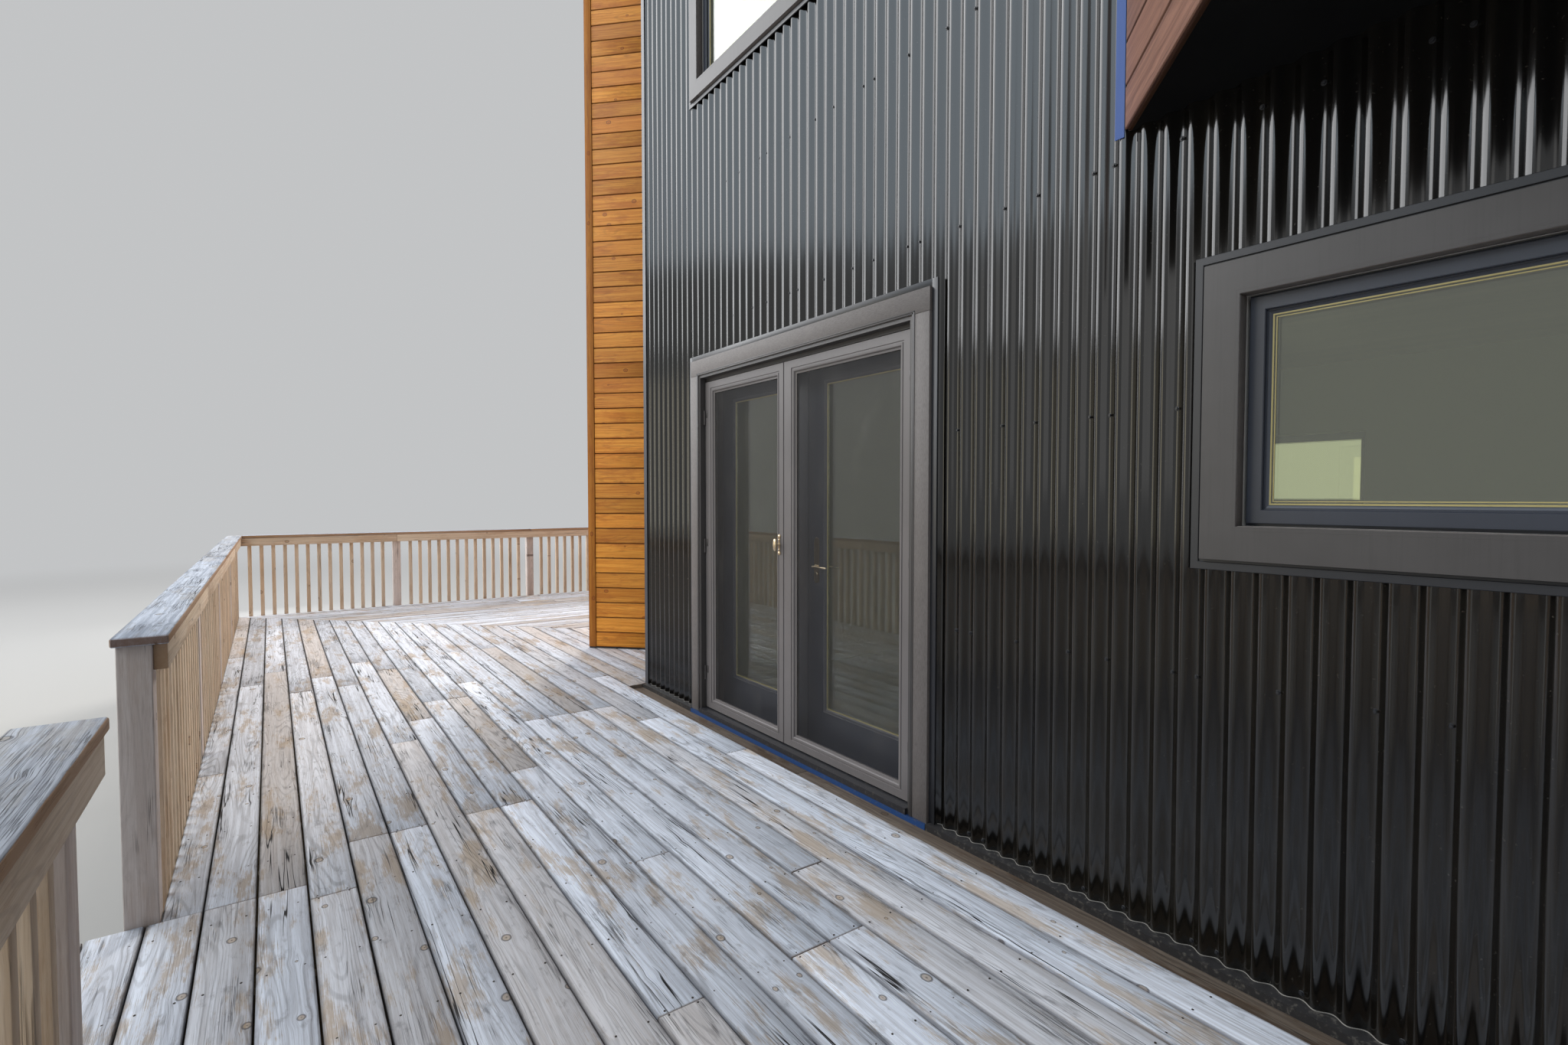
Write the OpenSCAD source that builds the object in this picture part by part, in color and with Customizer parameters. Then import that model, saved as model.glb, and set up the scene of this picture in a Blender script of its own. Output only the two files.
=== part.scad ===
// Two-storey cabin clad in ribbed steel, with a diagonal timber-clad tower, a
// projecting corner bay and a raised timber deck with railings.
// Inside the modules X runs along the front, Y into the cabin and Z up from the
// ground, from the cabin's front left corner. The part's own origin is the
// centre of the cabin's footprint, on the ground.

/* [Cabin] */
// Length of the cabin along its front
cab_l = 7300; // [6700:50:9000]
// Depth of the cabin from front to back
cab_d = 5600; // [5450:50:7500]
// Height of the walls above the deck
wall_h = 6300; // [6050:50:6900]
// Thickness of the framed walls behind the cladding
wall_t = 180; // [165:5:240]
// Depth of the ribbed cladding and of the timber siding
clad_t = 22; // [16:1:30]
// Height of the metal coping on the parapet
coping_h = 40; // [25:5:80]
// How far the coping stands out from the cladding
coping_out = 20; // [10:1:40]

/* [Levels] */
// Height of the deck and the ground floor above the ground
deck_h = 600; // [450:10:900]
// Thickness of the ground floor
floor_t = 250; // [150:10:300]
// Height of the ground floor ceiling and the bay's soffit above the deck
soffit_h = 2566; // [2450:1:2620]
// Thickness of the upper floor
upper_t = 300; // [200:10:320]
// Height of the parapet above the roof
parapet_h = 400; // [200:10:600]
// Thickness of the roof
roof_t = 300; // [200:10:320]
// Width of the inside ways from the rooms into the tower
way_w = 1000; // [800:20:1200]
// Height of the inside ways
way_h = 2100; // [2000:10:2300]
// Depth of the lintel over the way into the bay
lintel_h = 500; // [300:10:600]

/* [Tower] */
// How far the tower's front corner lies left of the cabin
tower_out = 1496; // [1200:1:1500]
// How far the tower's front corner lies behind the cabin's front
tower_in = 120; // [60:1:140]
// Distance from the tower's back to the cabin's back corner
tower_gap = 378; // [200:2:800]
// Thickness of the framed tower and bay walls
frame_t = 138; // [110:1:150]
// Height of the tower's siding above the deck
siding_gap = 12; // [6:1:25]

/* [Bay] */
// Distance from the cabin's left corner to the bay
bay_x = 3690; // [3500:1:3900]
// Half the width of the bay along the front wall
bay_half = 1313; // [1200:1:1350]
// Distance of the bay's walls below the top of the cabin's walls
bay_drop = 815; // [600:5:1000]
// Thickness of the bay's roof
bay_roof_t = 60; // [40:5:100]
// Overhang of the bay's roof
bay_eave = 30; // [10:5:60]

/* [Door frame] */
// Distance from the cabin's left corner to the door's casing
door_x = 765; // [600:5:900]
// Width of the doorway between the casings
door_w = 1900; // [1700:10:2000]
// Height of the doorway under the head casing
door_head = 2165; // [2100:5:2250]
// Width of the casing boards
casing_w = 100; // [80:1:120]
// How far the casings stand out from the cladding
casing_out = 20; // [10:1:30]
// Thickness of the door's jambs
jamb_t = 18; // [15:1:30]
// Depth of the jambs' front edge behind the face of the casings
jamb_in = 6; // [2:1:15]
// Depth of the stop behind the front of the screen leaves
stop_in = 10; // [5:1:20]
// Height of the stop under the head jamb
stop_h = 20; // [12:1:30]
// Height of the threshold
sill_h = 28; // [15:1:40]
// How far the threshold reaches out over the deck
sill_out = 30; // [22:1:60]
// Running gap around the door leaves
leaf_gap = 5; // [5:0.5:8]

/* [Screen doors] */
// Width of the left screen leaf
screen_left_w = 868; // [700:1:900]
// Thickness of the screen leaves
screen_t = 35; // [28:1:38]
// Depth of the screen leaves behind the face of the casings
screen_in = 40; // [34:1:45]
// Width of the screen stiles
stile_w = 100; // [70:1:110]
// Width of the left leaf's meeting stile
meet_w = 75; // [60:1:90]
// Height of the screen's top rail
top_rail = 76; // [60:1:100]
// Height of the screen's bottom rail
low_rail = 70; // [60:1:120]
// Thickness of the insect mesh panel
mesh_t = 2; // [1:0.5:4]

/* [Glazed doors] */
// Thickness of the glazed leaves
glazed_t = 45; // [38:1:50]
// Space between the screens and the glazed leaves
glazed_in = 92; // [60:1:92]
// Width of the glazed leaves' stiles
glazed_stile = 150; // [110:1:160]
// Height of the glazed leaves' top rail
glazed_top = 130; // [90:1:150]
// Height of the glazed leaves' bottom rail
glazed_low = 215; // [180:1:300]
// Thickness of the sealed glass in doors and windows
glass_t = 24; // [16:1:28]
// Radius of the hinge barrels
pin_r = 6; // [5:0.5:7]
// Gap between the barrels and the leaves and jambs
pin_gap = 1; // [0.5:0.5:3]
// Height of one half of a hinge
hinge_h = 45; // [35:1:60]
// Distance of the outer hinges from the ends of a leaf
hinge_end = 180; // [120:5:260]

/* [Door handles] */
// Height of the screen latch above the deck
latch_h = 1127; // [1000:1:1200]
// Width of the latch's plate
latch_w = 28; // [20:1:36]
// Height of the latch's plate
latch_plate_h = 120; // [80:5:160]
// Length of the latch's handle
latch_l = 54; // [40:1:70]
// How far the latch stands out from the screen
latch_out = 34; // [25:1:45]
// Height of the lever above the deck
lever_h = 1012; // [950:1:1150]
// Length of the lever
lever_l = 120; // [90:1:140]
// Width of the lever's plate
plate_w = 42; // [34:1:50]
// Height of the lever's plate
plate_h = 250; // [160:5:280]
// Height of the middle of the lever's plate above the lever
plate_up = 36; // [0:1:60]
// How far the lever stands out from the glazed leaf
lever_out = 33; // [26:1:33]

/* [Windows] */
// Outside width of the large window casings
win_w = 2100; // [1800:10:2200]
// Height of the lower casings' bottom edge above the deck
low_sill = 1206; // [900:1:1300]
// Outside height of the lower casings
low_h = 856; // [700:1:1000]
// Distance of the upper casings below the top of the cabin's walls
up_drop = 1050; // [900:1:1300]
// Outside height of the upper casings
up_h = 1327; // [1000:1:1350]
// Outside width of the narrow tower and bay casings
slim_w = 1100; // [900:10:1150]
// Depth of the sashes behind the face of the casings
sash_in = 42; // [36:1:50]
// Width of the sash members
sash_w = 60; // [45:1:80]
// Depth of the sashes
sash_t = 62; // [50:1:70]
// Width of the flashing around the casings
flash_w = 32; // [20:1:45]
// Thickness of the flashing around the casings
flash_t = 6; // [4:1:10]

/* [Metal trims] */
// Leg of the corner trims
trim_w = 45; // [35:1:60]
// Thickness of the corner trims
trim_t = 3; // [2:0.5:5]
// Width of the trims beside the bay
bay_trim_w = 32; // [25:1:50]
// How far these trims run down past the bay's soffit
bay_trim_drop = 20; // [0:1:40]
// Height of the base flashing at the wall above the deck
base_h = 6; // [4:1:40]
// Height of its front edge above the deck
base_lip = 2; // [0:1:30]
// How far the base flashing stands out
base_out = 28; // [15:1:40]

/* [Deck] */
// Width of the deck in front of the cabin
deck_w = 2590; // [2300:2:3000]
// How far the deck reaches left of the cabin
deck_left = 5500; // [5100:50:6500]
// How far the left deck reaches behind the cabin's front
deck_back = 4060; // [3600:20:4400]
// Thickness of the deck boards
board_t = 38; // [32:1:45]
// Width of the sunk strip between the deck boards and the cabin
edge_w = 137; // [60:1:150]
// Depth of the strip's top below the deck
edge_sink = 24; // [10:1:28]
// Gap between the strip and the deck boards
edge_gap = 5; // [3:1:10]
// Thickness of the rim beams
rim_t = 76; // [50:1:90]
// Height of the rim beams and joists
rim_h = 235; // [180:5:250]
// Thickness of the joists
joist_t = 38; // [30:1:50]
// Spacing of the joists
joist_step = 406; // [300:1:600]
// Side of the square ground posts
foot_w = 140; // [90:1:160]

/* [Railing] */
// Height of the railing above the deck
rail_h = 945; // [900:5:1100]
// Side of the square railing posts
rail_post = 89; // [70:1:100]
// Width of the cap board
cap_w = 145; // [130:1:160]
// Thickness of the cap board
cap_t = 30; // [25:1:45]
// Overhang of the cap board past an end post
cap_over = 25; // [0:1:40]
// Overhang of the cap board over the rail under it
cap_in = 7; // [0:1:20]
// Height of the rail under the cap
sub_h = 89; // [60:1:120]
// Thickness of the rail under the cap
sub_t = 38; // [30:1:45]
// Side of the square balusters
bal_w = 38; // [30:1:45]
// Spacing of the balusters
bal_step = 112; // [95:1:150]
// Height of the balusters' ends above the bottom of the rim
bal_up = 35; // [10:5:80]
// Largest spacing of the posts
post_step = 2240; // [1800:10:2600]
// Distance from the cabin's left corner to the way out
gate_x = 1920; // [1500:4:2300]
// Width of the way out between its posts
gate_w = 1150; // [1000:1:1300]
// Overhang of the right cap board into the way out
gate_cap = 55; // [0:1:80]
// Overhang of the right railing's lower rail into the way out
gate_sub = 45; // [0:1:80]
// Distance of the left railing's lower rail from the way out
sub_back = 20; // [0:1:40]
// Gap between the right railing's end and the cabin
wall_gap = 30; // [10:5:60]

/* [Stair] */
// Depth of the landing past the railing
landing_d = 292; // [250:1:600]
// Depth of a tread
tread_d = 280; // [250:1:320]
// Thickness of a tread
tread_t = 38; // [30:1:45]
// Thickness of a stringer
stringer_t = 38; // [30:1:60]
// Distance of the outer stringers from the ends of the treads
stringer_in = 40; // [20:5:80]
// Number of treads below the landing
treads = 3; // [2:1:4]

/* [Hidden] */

// Levels above the ground
plinth_z = deck_h - floor_t;
top_z = deck_h + wall_h;
soffit_z = deck_h + soffit_h;
upper_z = soffit_z + upper_t;
ceiling_z = top_z - parapet_h - roof_t;
bay_top_z = top_z - bay_drop;
base_z = deck_h + base_h;
siding_z = deck_h + siding_gap;
rim_z = deck_h - board_t - rim_h;

// Depths behind the outer face of the cladding
inner = clad_t + wall_t;
frame_in = clad_t + frame_t;
far = 20000;

// How far a cut runs past the face that it starts from
past = 1;

// Either leg of a diagonal length, rounded so that pieces on the diagonal walls
// share the same planes
function leg(t) = round(t * cos(45) * 100) / 100;

// Doorway, from the cabin's left corner and above the deck
open_x0 = door_x + casing_w;
open_x1 = open_x0 + door_w;
jamb_x0 = open_x0 + jamb_t;
jamb_x1 = open_x1 - jamb_t;
leaf_z0 = deck_h + sill_h + leaf_gap;
leaf_z1 = deck_h + door_head - jamb_t - stop_h - leaf_gap;
leaf_h = leaf_z1 - leaf_z0;
jamb_y0 = jamb_in - casing_out;
screen_y = screen_in - casing_out;
glazed_y = screen_y + screen_t + glazed_in;
screen_right_w = jamb_x1 - jamb_x0 - 3 * leaf_gap - screen_left_w;
glazed_w = (jamb_x1 - jamb_x0 - 3 * leaf_gap) / 2;
screen_x0 = jamb_x0 + leaf_gap;
screen_x1 = screen_x0 + screen_left_w + leaf_gap;
glazed_x0 = jamb_x0 + leaf_gap;
glazed_x1 = glazed_x0 + glazed_w + leaf_gap;
pin_off = pin_r + pin_gap;
hinge_zs = [leaf_z0 + hinge_end, leaf_z0 + leaf_h / 2 - hinge_h,
    leaf_z1 - hinge_end - 2 * hinge_h];

// Plates of the hinges, how deep a plate runs into its leaf, and the gap
// between a hinge's two halves
hinge_plate_t = 4;
hinge_plate_w = 30;
hinge_sink = 1;
hinge_play = 0.3;

// Tower and bay corners
tower_leg = round((cab_d - tower_gap - tower_in - tower_out) * 50) / 100;
tower_end = tower_in + tower_out + 2 * tower_leg;
tower_w = tower_leg / cos(45);
tower_left = [-tower_out - tower_leg, tower_in + tower_leg];
bay_cx = bay_x + bay_half;
bay_side = bay_half / cos(45);
bay_way_x = 2 * leg(frame_in) + frame_in / 2;
way_y = tower_in + tower_out + tower_leg;

// Deck corners
deck_x0 = -deck_left;
deck_x1 = cab_l;
mitre_x = (tower_in - tower_out + deck_w - deck_left) / 2;
mitre_y = mitre_x + deck_left - deck_w;
back_x = deck_back - tower_end;

// Steps of the stair
rise = deck_h / (treads + 1);

// How far a cap board stands out past a corner post, and how far the rail under
// it falls short of the post's outer face
cap_side = cap_w - sub_t - cap_in - rail_post;
sub_side = sub_t - rail_post;

// Walls that hold windows, each as the place of its left end seen from outside,
// and its turn
front_face = [0, 0, 0];
right_face = [cab_l, 0, 90];
back_face = [cab_l, cab_d, 180];
tower_face = [tower_left[0], tower_left[1], -45];
bay_left_face = [bay_x, 0, -45];
bay_right_face = [bay_cx, -bay_half, 45];

// Windows: wall, left edge of the casing, width, bottom edge and height
low_z = deck_h + low_sill;
up_z = top_z - up_drop - up_h;
sash_y = sash_in - casing_out;
right_x = (cab_d - win_w) / 2;
back_x1 = (cab_l / 2 - win_w) / 2;
back_x2 = back_x1 + cab_l / 2;
tower_win_x = (tower_w - slim_w) / 2;
bay_win_x = (bay_side - slim_w) / 2;
front_windows = [
    [front_face, door_x, win_w, up_z, up_h],
    [front_face, bay_cx - win_w / 2, win_w, low_z, low_h]];
right_windows = [for (z = [[low_z, low_h], [up_z, up_h]]) [right_face, right_x, win_w, z[0], z[1]]];
back_windows = [for (x = [back_x1, back_x2], z = [[low_z, low_h], [up_z, up_h]])
    [back_face, x, win_w, z[0], z[1]]];
tower_windows = [for (z = [[low_z, low_h], [up_z, up_h]]) [tower_face, tower_win_x, slim_w, z[0], z[1]]];
bay_windows = [for (f = [bay_left_face, bay_right_face]) [f, bay_win_x, slim_w, up_z, up_h]];
windows = concat(front_windows, right_windows, back_windows, tower_windows, bay_windows);

// Colours
steel = "#2b2a2b";
trim_colour = "#3a3c42";
casing_colour = "#4b4644";
cedar = "#a8683a";
grey_wood = "#b3a896";
plaster = "#d8d4cc";
concrete = "#9c9a96";
dark_metal = "#26303c";
glass_colour = [0.35, 0.42, 0.36, 0.4];

// Puts a model drawn from the cabin's corner on the part's own origin
module site() {
    translate([-cab_l / 2, -cab_d / 2, 0]) children();
}

// Point of the plan at x along a wall, seen from outside, and y into it
function on_face(f, x, y) = abs(f[2]) == 45
    ? [f[0] + leg(x) - sign(f[2]) * leg(y), f[1] + sign(f[2]) * leg(x) + leg(y)]
    : [f[0] + x * cos(f[2]) - y * sin(f[2]), f[1] + x * sin(f[2]) + y * cos(f[2])];

// Block between two corners
module block(a, b) {
    translate(a) cube([b[0] - a[0], b[1] - a[1], b[2] - a[2]]);
}

// Block between two corners drawn on a wall
module wall_block(f, a, b) {
    prism(a[2], b[2]) polygon([on_face(f, a[0], a[1]), on_face(f, b[0], a[1]),
        on_face(f, b[0], b[1]), on_face(f, a[0], b[1])]);
}

// Prism of a plan between two levels
module prism(z0, z1) {
    translate([0, 0, z0]) linear_extrude(height = z1 - z0) children();
}

// Plans, each drawn in from the outer face by t
module cabin_plan(t) {
    translate([t, t]) square([cab_l - 2 * t, cab_d - 2 * t]);
}

module tower_plan(t, reach) {
    polygon([[-tower_out, tower_in + 2 * leg(t)],
        [reach, reach + tower_in + tower_out + 2 * leg(t)],
        [reach, reach + tower_end - 2 * leg(t)],
        [tower_left[0] + 2 * leg(t), tower_left[1]]]);
}

module bay_plan(t) {
    h = bay_half + clad_t - 2 * leg(t);
    polygon([[bay_cx - h, clad_t], [bay_cx, clad_t - h], [bay_cx + h, clad_t]]);
}

// Hole through a wall for the windows of a list, at the casing's inside edge
module window_holes(list) {
    for (w = list) {
        wall_block(w[0], [w[1] + casing_w, -past, w[3] + casing_w],
            [w[1] + w[2] - casing_w, far / 20, w[3] + w[4] - casing_w]);
    }
}

// Hole in the cladding for the windows of a list, at the casing's outside edge
module casing_holes(list) {
    for (w = list) {
        wall_block(w[0], [w[1], -past, w[3]], [w[1] + w[2], clad_t + past, w[3] + w[4]]);
    }
}

// Upright ring on a wall between two depths, w wide
module ring(f, x0, z0, x1, z1, w, y0, y1) {
    difference() {
        wall_block(f, [x0, y0, z0], [x1, y1, z1]);
        wall_block(f, [x0 + w, y0 - past, z0 + w], [x1 - w, y1 + past, z1 - w]);
    }
}

module foundation() {
    color(concrete) site() prism(0, plinth_z) union() {
        cabin_plan(clad_t);
        tower_plan(clad_t, inner);
    }
}

module ground_floor() {
    color(cedar) site() {
        prism(plinth_z, deck_h) cabin_plan(inner);
        block([open_x0, clad_t, plinth_z], [open_x1, inner + past, deck_h]);
        prism(plinth_z, deck_h) tower_plan(frame_in, clad_t);
    }
}

module upper_floor() {
    color(cedar) site() prism(soffit_z, upper_z) union() {
        cabin_plan(inner);
        tower_plan(frame_in, clad_t);
    }
}

module roof() {
    color(trim_colour) site() prism(ceiling_z, ceiling_z + roof_t) union() {
        cabin_plan(inner);
        tower_plan(frame_in, clad_t);
    }
}

module coping() {
    color(steel) site() prism(top_z, top_z + coping_h) difference() {
        union() {
            cabin_plan(-coping_out);
            tower_plan(-coping_out, inner);
        }
        cabin_plan(inner + coping_out);
        tower_plan(frame_in + coping_out, clad_t - coping_out);
    }
}

// Front wall between two distances, with its windows and the way to the bay
module front_part(x0, x1, z0) {
    difference() {
        block([x0, clad_t, z0], [x1, inner, top_z]);
        window_holes(front_windows);
        block([bay_x + bay_way_x, 0, upper_z],
            [bay_x + 2 * bay_half - bay_way_x, far / 20, ceiling_z - lintel_h]);
    }
}

module front_wall_left() {
    color(plaster) site() front_part(clad_t, open_x0, plinth_z);
}

module front_wall_over_door() {
    color(plaster) site() front_part(open_x0, open_x1, deck_h + door_head);
}

module front_wall_right() {
    color(plaster) site() front_part(open_x1, cab_l - clad_t, plinth_z);
}

module left_wall() {
    color(plaster) site() difference() {
        block([clad_t, inner, plinth_z], [inner, cab_d - inner, top_z]);
        for (z = [deck_h, upper_z]) {
            block([0, way_y - way_w / 2, z], [inner + past, way_y + way_w / 2, z + way_h]);
        }
    }
}

module right_wall() {
    color(plaster) site() difference() {
        block([cab_l - inner, inner, plinth_z], [cab_l - clad_t, cab_d - inner, top_z]);
        window_holes(right_windows);
    }
}

module back_wall() {
    color(plaster) site() difference() {
        block([clad_t, cab_d - inner, plinth_z], [cab_l - clad_t, cab_d - clad_t, top_z]);
        window_holes(back_windows);
    }
}

// Point of the tower's plan: a along its right face and b along its front one, as legs
function tower_point(a, b) = [a - b - tower_out, a + b + tower_in];

// Slab of the tower's frame that runs back to the cabin, between two legs
module tower_slab(b0, b1) {
    reach = clad_t + tower_in + tower_out;
    prism(plinth_z, top_z) polygon([tower_point(leg(frame_in), b0), [clad_t, reach + 2 * b0],
        [clad_t, reach + 2 * b1], tower_point(leg(frame_in), b1)]);
}

module tower_wall_right() {
    color(plaster) site() tower_slab(leg(clad_t), leg(frame_in));
}

module tower_wall_front() {
    b1 = tower_leg - leg(clad_t);
    color(plaster) site() difference() {
        prism(plinth_z, top_z) polygon([tower_point(leg(clad_t), leg(clad_t)),
            tower_point(leg(frame_in), leg(clad_t)), tower_point(leg(frame_in), b1),
            tower_point(leg(clad_t), b1)]);
        window_holes(tower_windows);
    }
}

module tower_wall_back() {
    color(plaster) site() tower_slab(tower_leg - leg(frame_in), tower_leg - leg(clad_t));
}

// Bay wall on one side of its middle
module bay_wall(side) {
    difference() {
        prism(upper_z, bay_top_z) difference() {
            bay_plan(clad_t);
            bay_plan(frame_in);
            translate([side > 0 ? bay_cx - far : bay_cx, -far / 2]) square([far, far]);
        }
        window_holes(bay_windows);
    }
}

module bay_wall_left() {
    color(plaster) site() bay_wall(-1);
}

module bay_wall_right() {
    color(plaster) site() bay_wall(1);
}

module bay_floor() {
    color(steel) site() prism(soffit_z, upper_z) bay_plan(clad_t);
}

module bay_roof() {
    color(steel) site() prism(bay_top_z, bay_top_z + bay_roof_t) difference() {
        bay_plan(-bay_eave);
        square([far, far]);
    }
}

module bay_siding() {
    color(cedar) site() difference() {
        prism(soffit_z, bay_top_z) difference() {
            bay_plan(0);
            bay_plan(clad_t);
        }
        casing_holes(bay_windows);
    }
}

module front_cladding() {
    color(steel) site() difference() {
        block([0, 0, base_z], [cab_l, clad_t, top_z]);
        block([door_x, -past, deck_h],
            [open_x1 + casing_w, clad_t + past, deck_h + door_head + casing_w]);
        casing_holes(front_windows);
        prism(soffit_z, bay_top_z) bay_plan(0);
    }
}

module left_cladding() {
    color(steel) site() difference() {
        block([0, clad_t, base_z], [clad_t, cab_d - clad_t, top_z]);
        prism(0, far) tower_plan(0, inner);
    }
}

module right_cladding() {
    color(steel) site() difference() {
        block([cab_l - clad_t, clad_t, base_z], [cab_l, cab_d - clad_t, top_z]);
        casing_holes(right_windows);
    }
}

module back_cladding() {
    color(steel) site() difference() {
        block([0, cab_d - clad_t, base_z], [cab_l, cab_d, top_z]);
        casing_holes(back_windows);
    }
}

module tower_siding() {
    color(cedar) site() difference() {
        prism(siding_z, top_z) difference() {
            tower_plan(0, clad_t);
            tower_plan(clad_t, inner);
        }
        casing_holes(tower_windows);
    }
}

// L trim around a corner of the cabin, drawn for the front left one
module corner_trim() {
    prism(base_z, top_z) difference() {
        translate([-trim_t, -trim_t]) square([trim_w + trim_t, trim_w + trim_t]);
        square([far, far]);
    }
}

module corner_trims() {
    color(trim_colour) site() {
        corner_trim();
        translate([cab_l, 0, 0]) rotate([0, 0, 90]) corner_trim();
        translate([cab_l, cab_d, 0]) rotate([0, 0, 180]) corner_trim();
        translate([0, cab_d, 0]) rotate([0, 0, 270]) corner_trim();
        for (x = [bay_x - bay_trim_w, bay_x + 2 * bay_half]) {
            block([x, -trim_t, soffit_z - bay_trim_drop], [x + bay_trim_w, 0, bay_top_z]);
        }
    }
}

// Sloped ledge on the sunk strip along the cabin's front, between two distances
module base_strip(x0, x1) {
    translate([x0, 0, deck_h]) rotate([90, 0, 90]) linear_extrude(height = x1 - x0)
        polygon([[0, -edge_sink], [-base_out, -edge_sink], [-base_out, base_lip], [0, base_h]]);
}

module base_flashing() {
    color(steel) site() {
        difference() {
            prism(plinth_z, base_z) cabin_plan(0);
            prism(0, far) cabin_plan(clad_t);
            prism(0, far) tower_plan(0, inner);
            block([door_x, -past, deck_h], [open_x1 + casing_w, clad_t + past, far]);
        }
        prism(plinth_z, siding_z) difference() {
            tower_plan(0, clad_t);
            tower_plan(clad_t, inner);
        }
        base_strip(0, door_x);
        base_strip(open_x1 + casing_w, cab_l);
    }
}

module opening_flashings() {
    color(trim_colour) site() {
        for (w = windows) {
            ring(w[0], w[1] - flash_w, w[3] - flash_w, w[1] + w[2] + flash_w,
                w[3] + w[4] + flash_w, flash_w, -flash_t, 0);
        }
        difference() {
            block([door_x - flash_w, -flash_t, base_z],
                [open_x1 + casing_w + flash_w, 0, deck_h + door_head + casing_w + flash_w]);
            block([door_x, -flash_t - past, 0],
                [open_x1 + casing_w, past, deck_h + door_head + casing_w]);
        }
    }
}

module window_casings() {
    color(casing_colour) site() for (w = windows) {
        ring(w[0], w[1], w[3], w[1] + w[2], w[3] + w[4], casing_w, -casing_out, clad_t);
    }
}

module window_sashes() {
    color(dark_metal) site() for (w = windows) {
        ring(w[0], w[1] + casing_w, w[3] + casing_w, w[1] + w[2] - casing_w,
            w[3] + w[4] - casing_w, sash_w, sash_y, sash_y + sash_t);
    }
}

module window_glass() {
    edge = casing_w + sash_w;
    y0 = sash_y + (sash_t - glass_t) / 2;
    color(glass_colour) site() for (w = windows) {
        wall_block(w[0], [w[1] + edge, y0, w[3] + edge],
            [w[1] + w[2] - edge, y0 + glass_t, w[3] + w[4] - edge]);
    }
}

// Three-sided frame around the doorway, w wide inside its outer edge
module door_surround(x0, x1, z1, w, y0, y1) {
    difference() {
        block([x0, y0, deck_h], [x1, y1, z1]);
        block([x0 + w, y0 - past, deck_h - past], [x1 - w, y1 + past, z1 - w]);
    }
}

module door_casing() {
    color(casing_colour) site() door_surround(door_x, open_x1 + casing_w,
        deck_h + door_head + casing_w, casing_w, -casing_out, clad_t);
}

module door_frame() {
    color(casing_colour) site() {
        door_surround(open_x0, open_x1, deck_h + door_head, jamb_t, jamb_y0, inner);
        block([jamb_x0, screen_y + stop_in, deck_h + door_head - jamb_t - stop_h],
            [jamb_x1, inner, deck_h + door_head - jamb_t + past]);
    }
}

module door_threshold() {
    color(dark_metal) site() {
        block([jamb_x0, -sill_out, deck_h], [jamb_x1, inner, deck_h + sill_h]);
        block([door_x, -sill_out, deck_h - edge_sink], [open_x1 + casing_w, 0, deck_h]);
    }
}

// Hinge half fixed to a jamb: the barrel and its plate, pin at the origin
module jamb_hinge() {
    cylinder(r = pin_r, h = hinge_h, $fn = 32);
    translate([-pin_off, -hinge_plate_t / 2, 0]) cube([pin_off, hinge_plate_t, hinge_h]);
}

// Hinge half fixed to a leaf, above the other with a running gap
module leaf_hinge() {
    translate([0, 0, hinge_h + hinge_play]) {
        cylinder(r = pin_r, h = hinge_h, $fn = 32);
        translate([-pin_r / 2, pin_off + hinge_sink - hinge_plate_t, 0])
            cube([hinge_plate_w, hinge_plate_t, hinge_h]);
    }
}

// Places a hinge drawn for the left screen leaf on the pin line of the leaf on
// the left or right, of the glazed leaves inside or the screens
module at_pins(right, inside) {
    x = right ? jamb_x1 - pin_off : jamb_x0 + pin_off;
    y = inside ? glazed_y + glazed_t + pin_off : screen_y - pin_off;
    for (z = hinge_zs) {
        translate([x, y, z]) scale([right ? -1 : 1, inside ? -1 : 1, 1]) children();
    }
}

module door_hinges() {
    color("#8d8a84") site() {
        for (right = [false, true], inside = [false, true]) {
            at_pins(right, inside) jamb_hinge();
        }
    }
}

// Door leaf: a frame with its own stiles and rails, left edge at x
module leaf(x, w, y, t, left_stile, right_stile, top, low) {
    difference() {
        block([x, y, leaf_z0], [x + w, y + t, leaf_z1]);
        block([x + left_stile, y - past, leaf_z0 + low],
            [x + w - right_stile, y + t + past, leaf_z1 - top]);
    }
}

// Panel that fills a leaf's frame, t thick at its middle
module leaf_panel(x, w, y, leaf_t, t, left_stile, right_stile, top, low) {
    block([x + left_stile, y + (leaf_t - t) / 2, leaf_z0 + low],
        [x + w - right_stile, y + (leaf_t + t) / 2, leaf_z1 - top]);
}

module screen_door_left() {
    color(casing_colour) site() {
        leaf(screen_x0, screen_left_w, screen_y, screen_t, stile_w, meet_w, top_rail, low_rail);
        at_pins(false, false) leaf_hinge();
    }
}

module screen_mesh_left() {
    color("#3c4046") site() leaf_panel(screen_x0, screen_left_w, screen_y, screen_t, mesh_t,
        stile_w, meet_w, top_rail, low_rail);
}

module screen_door_right() {
    color(casing_colour) site() {
        leaf(screen_x1, screen_right_w, screen_y, screen_t, stile_w, stile_w, top_rail, low_rail);
        at_pins(true, false) leaf_hinge();
    }
}

module screen_mesh_right() {
    color("#3c4046") site() leaf_panel(screen_x1, screen_right_w, screen_y, screen_t, mesh_t,
        stile_w, stile_w, top_rail, low_rail);
}

// Plate, spindle and handle, the handle pointing away from the meeting edge
module screen_latch() {
    x = screen_x0 + screen_left_w - meet_w / 2;
    plate_t = 4;
    arm_t = 8;
    color("#a89f90") site() translate([x, screen_y, deck_h + latch_h]) {
        block([-latch_w / 2, -plate_t, -latch_plate_h / 2], [latch_w / 2, 0, latch_plate_h / 2]);
        rotate([90, 0, 0]) cylinder(r = arm_t, h = latch_out - arm_t / 2, $fn = 32);
        block([latch_w / 2 - latch_l, -latch_out, -arm_t], [latch_w / 2, arm_t - latch_out, arm_t]);
    }
}

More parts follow.
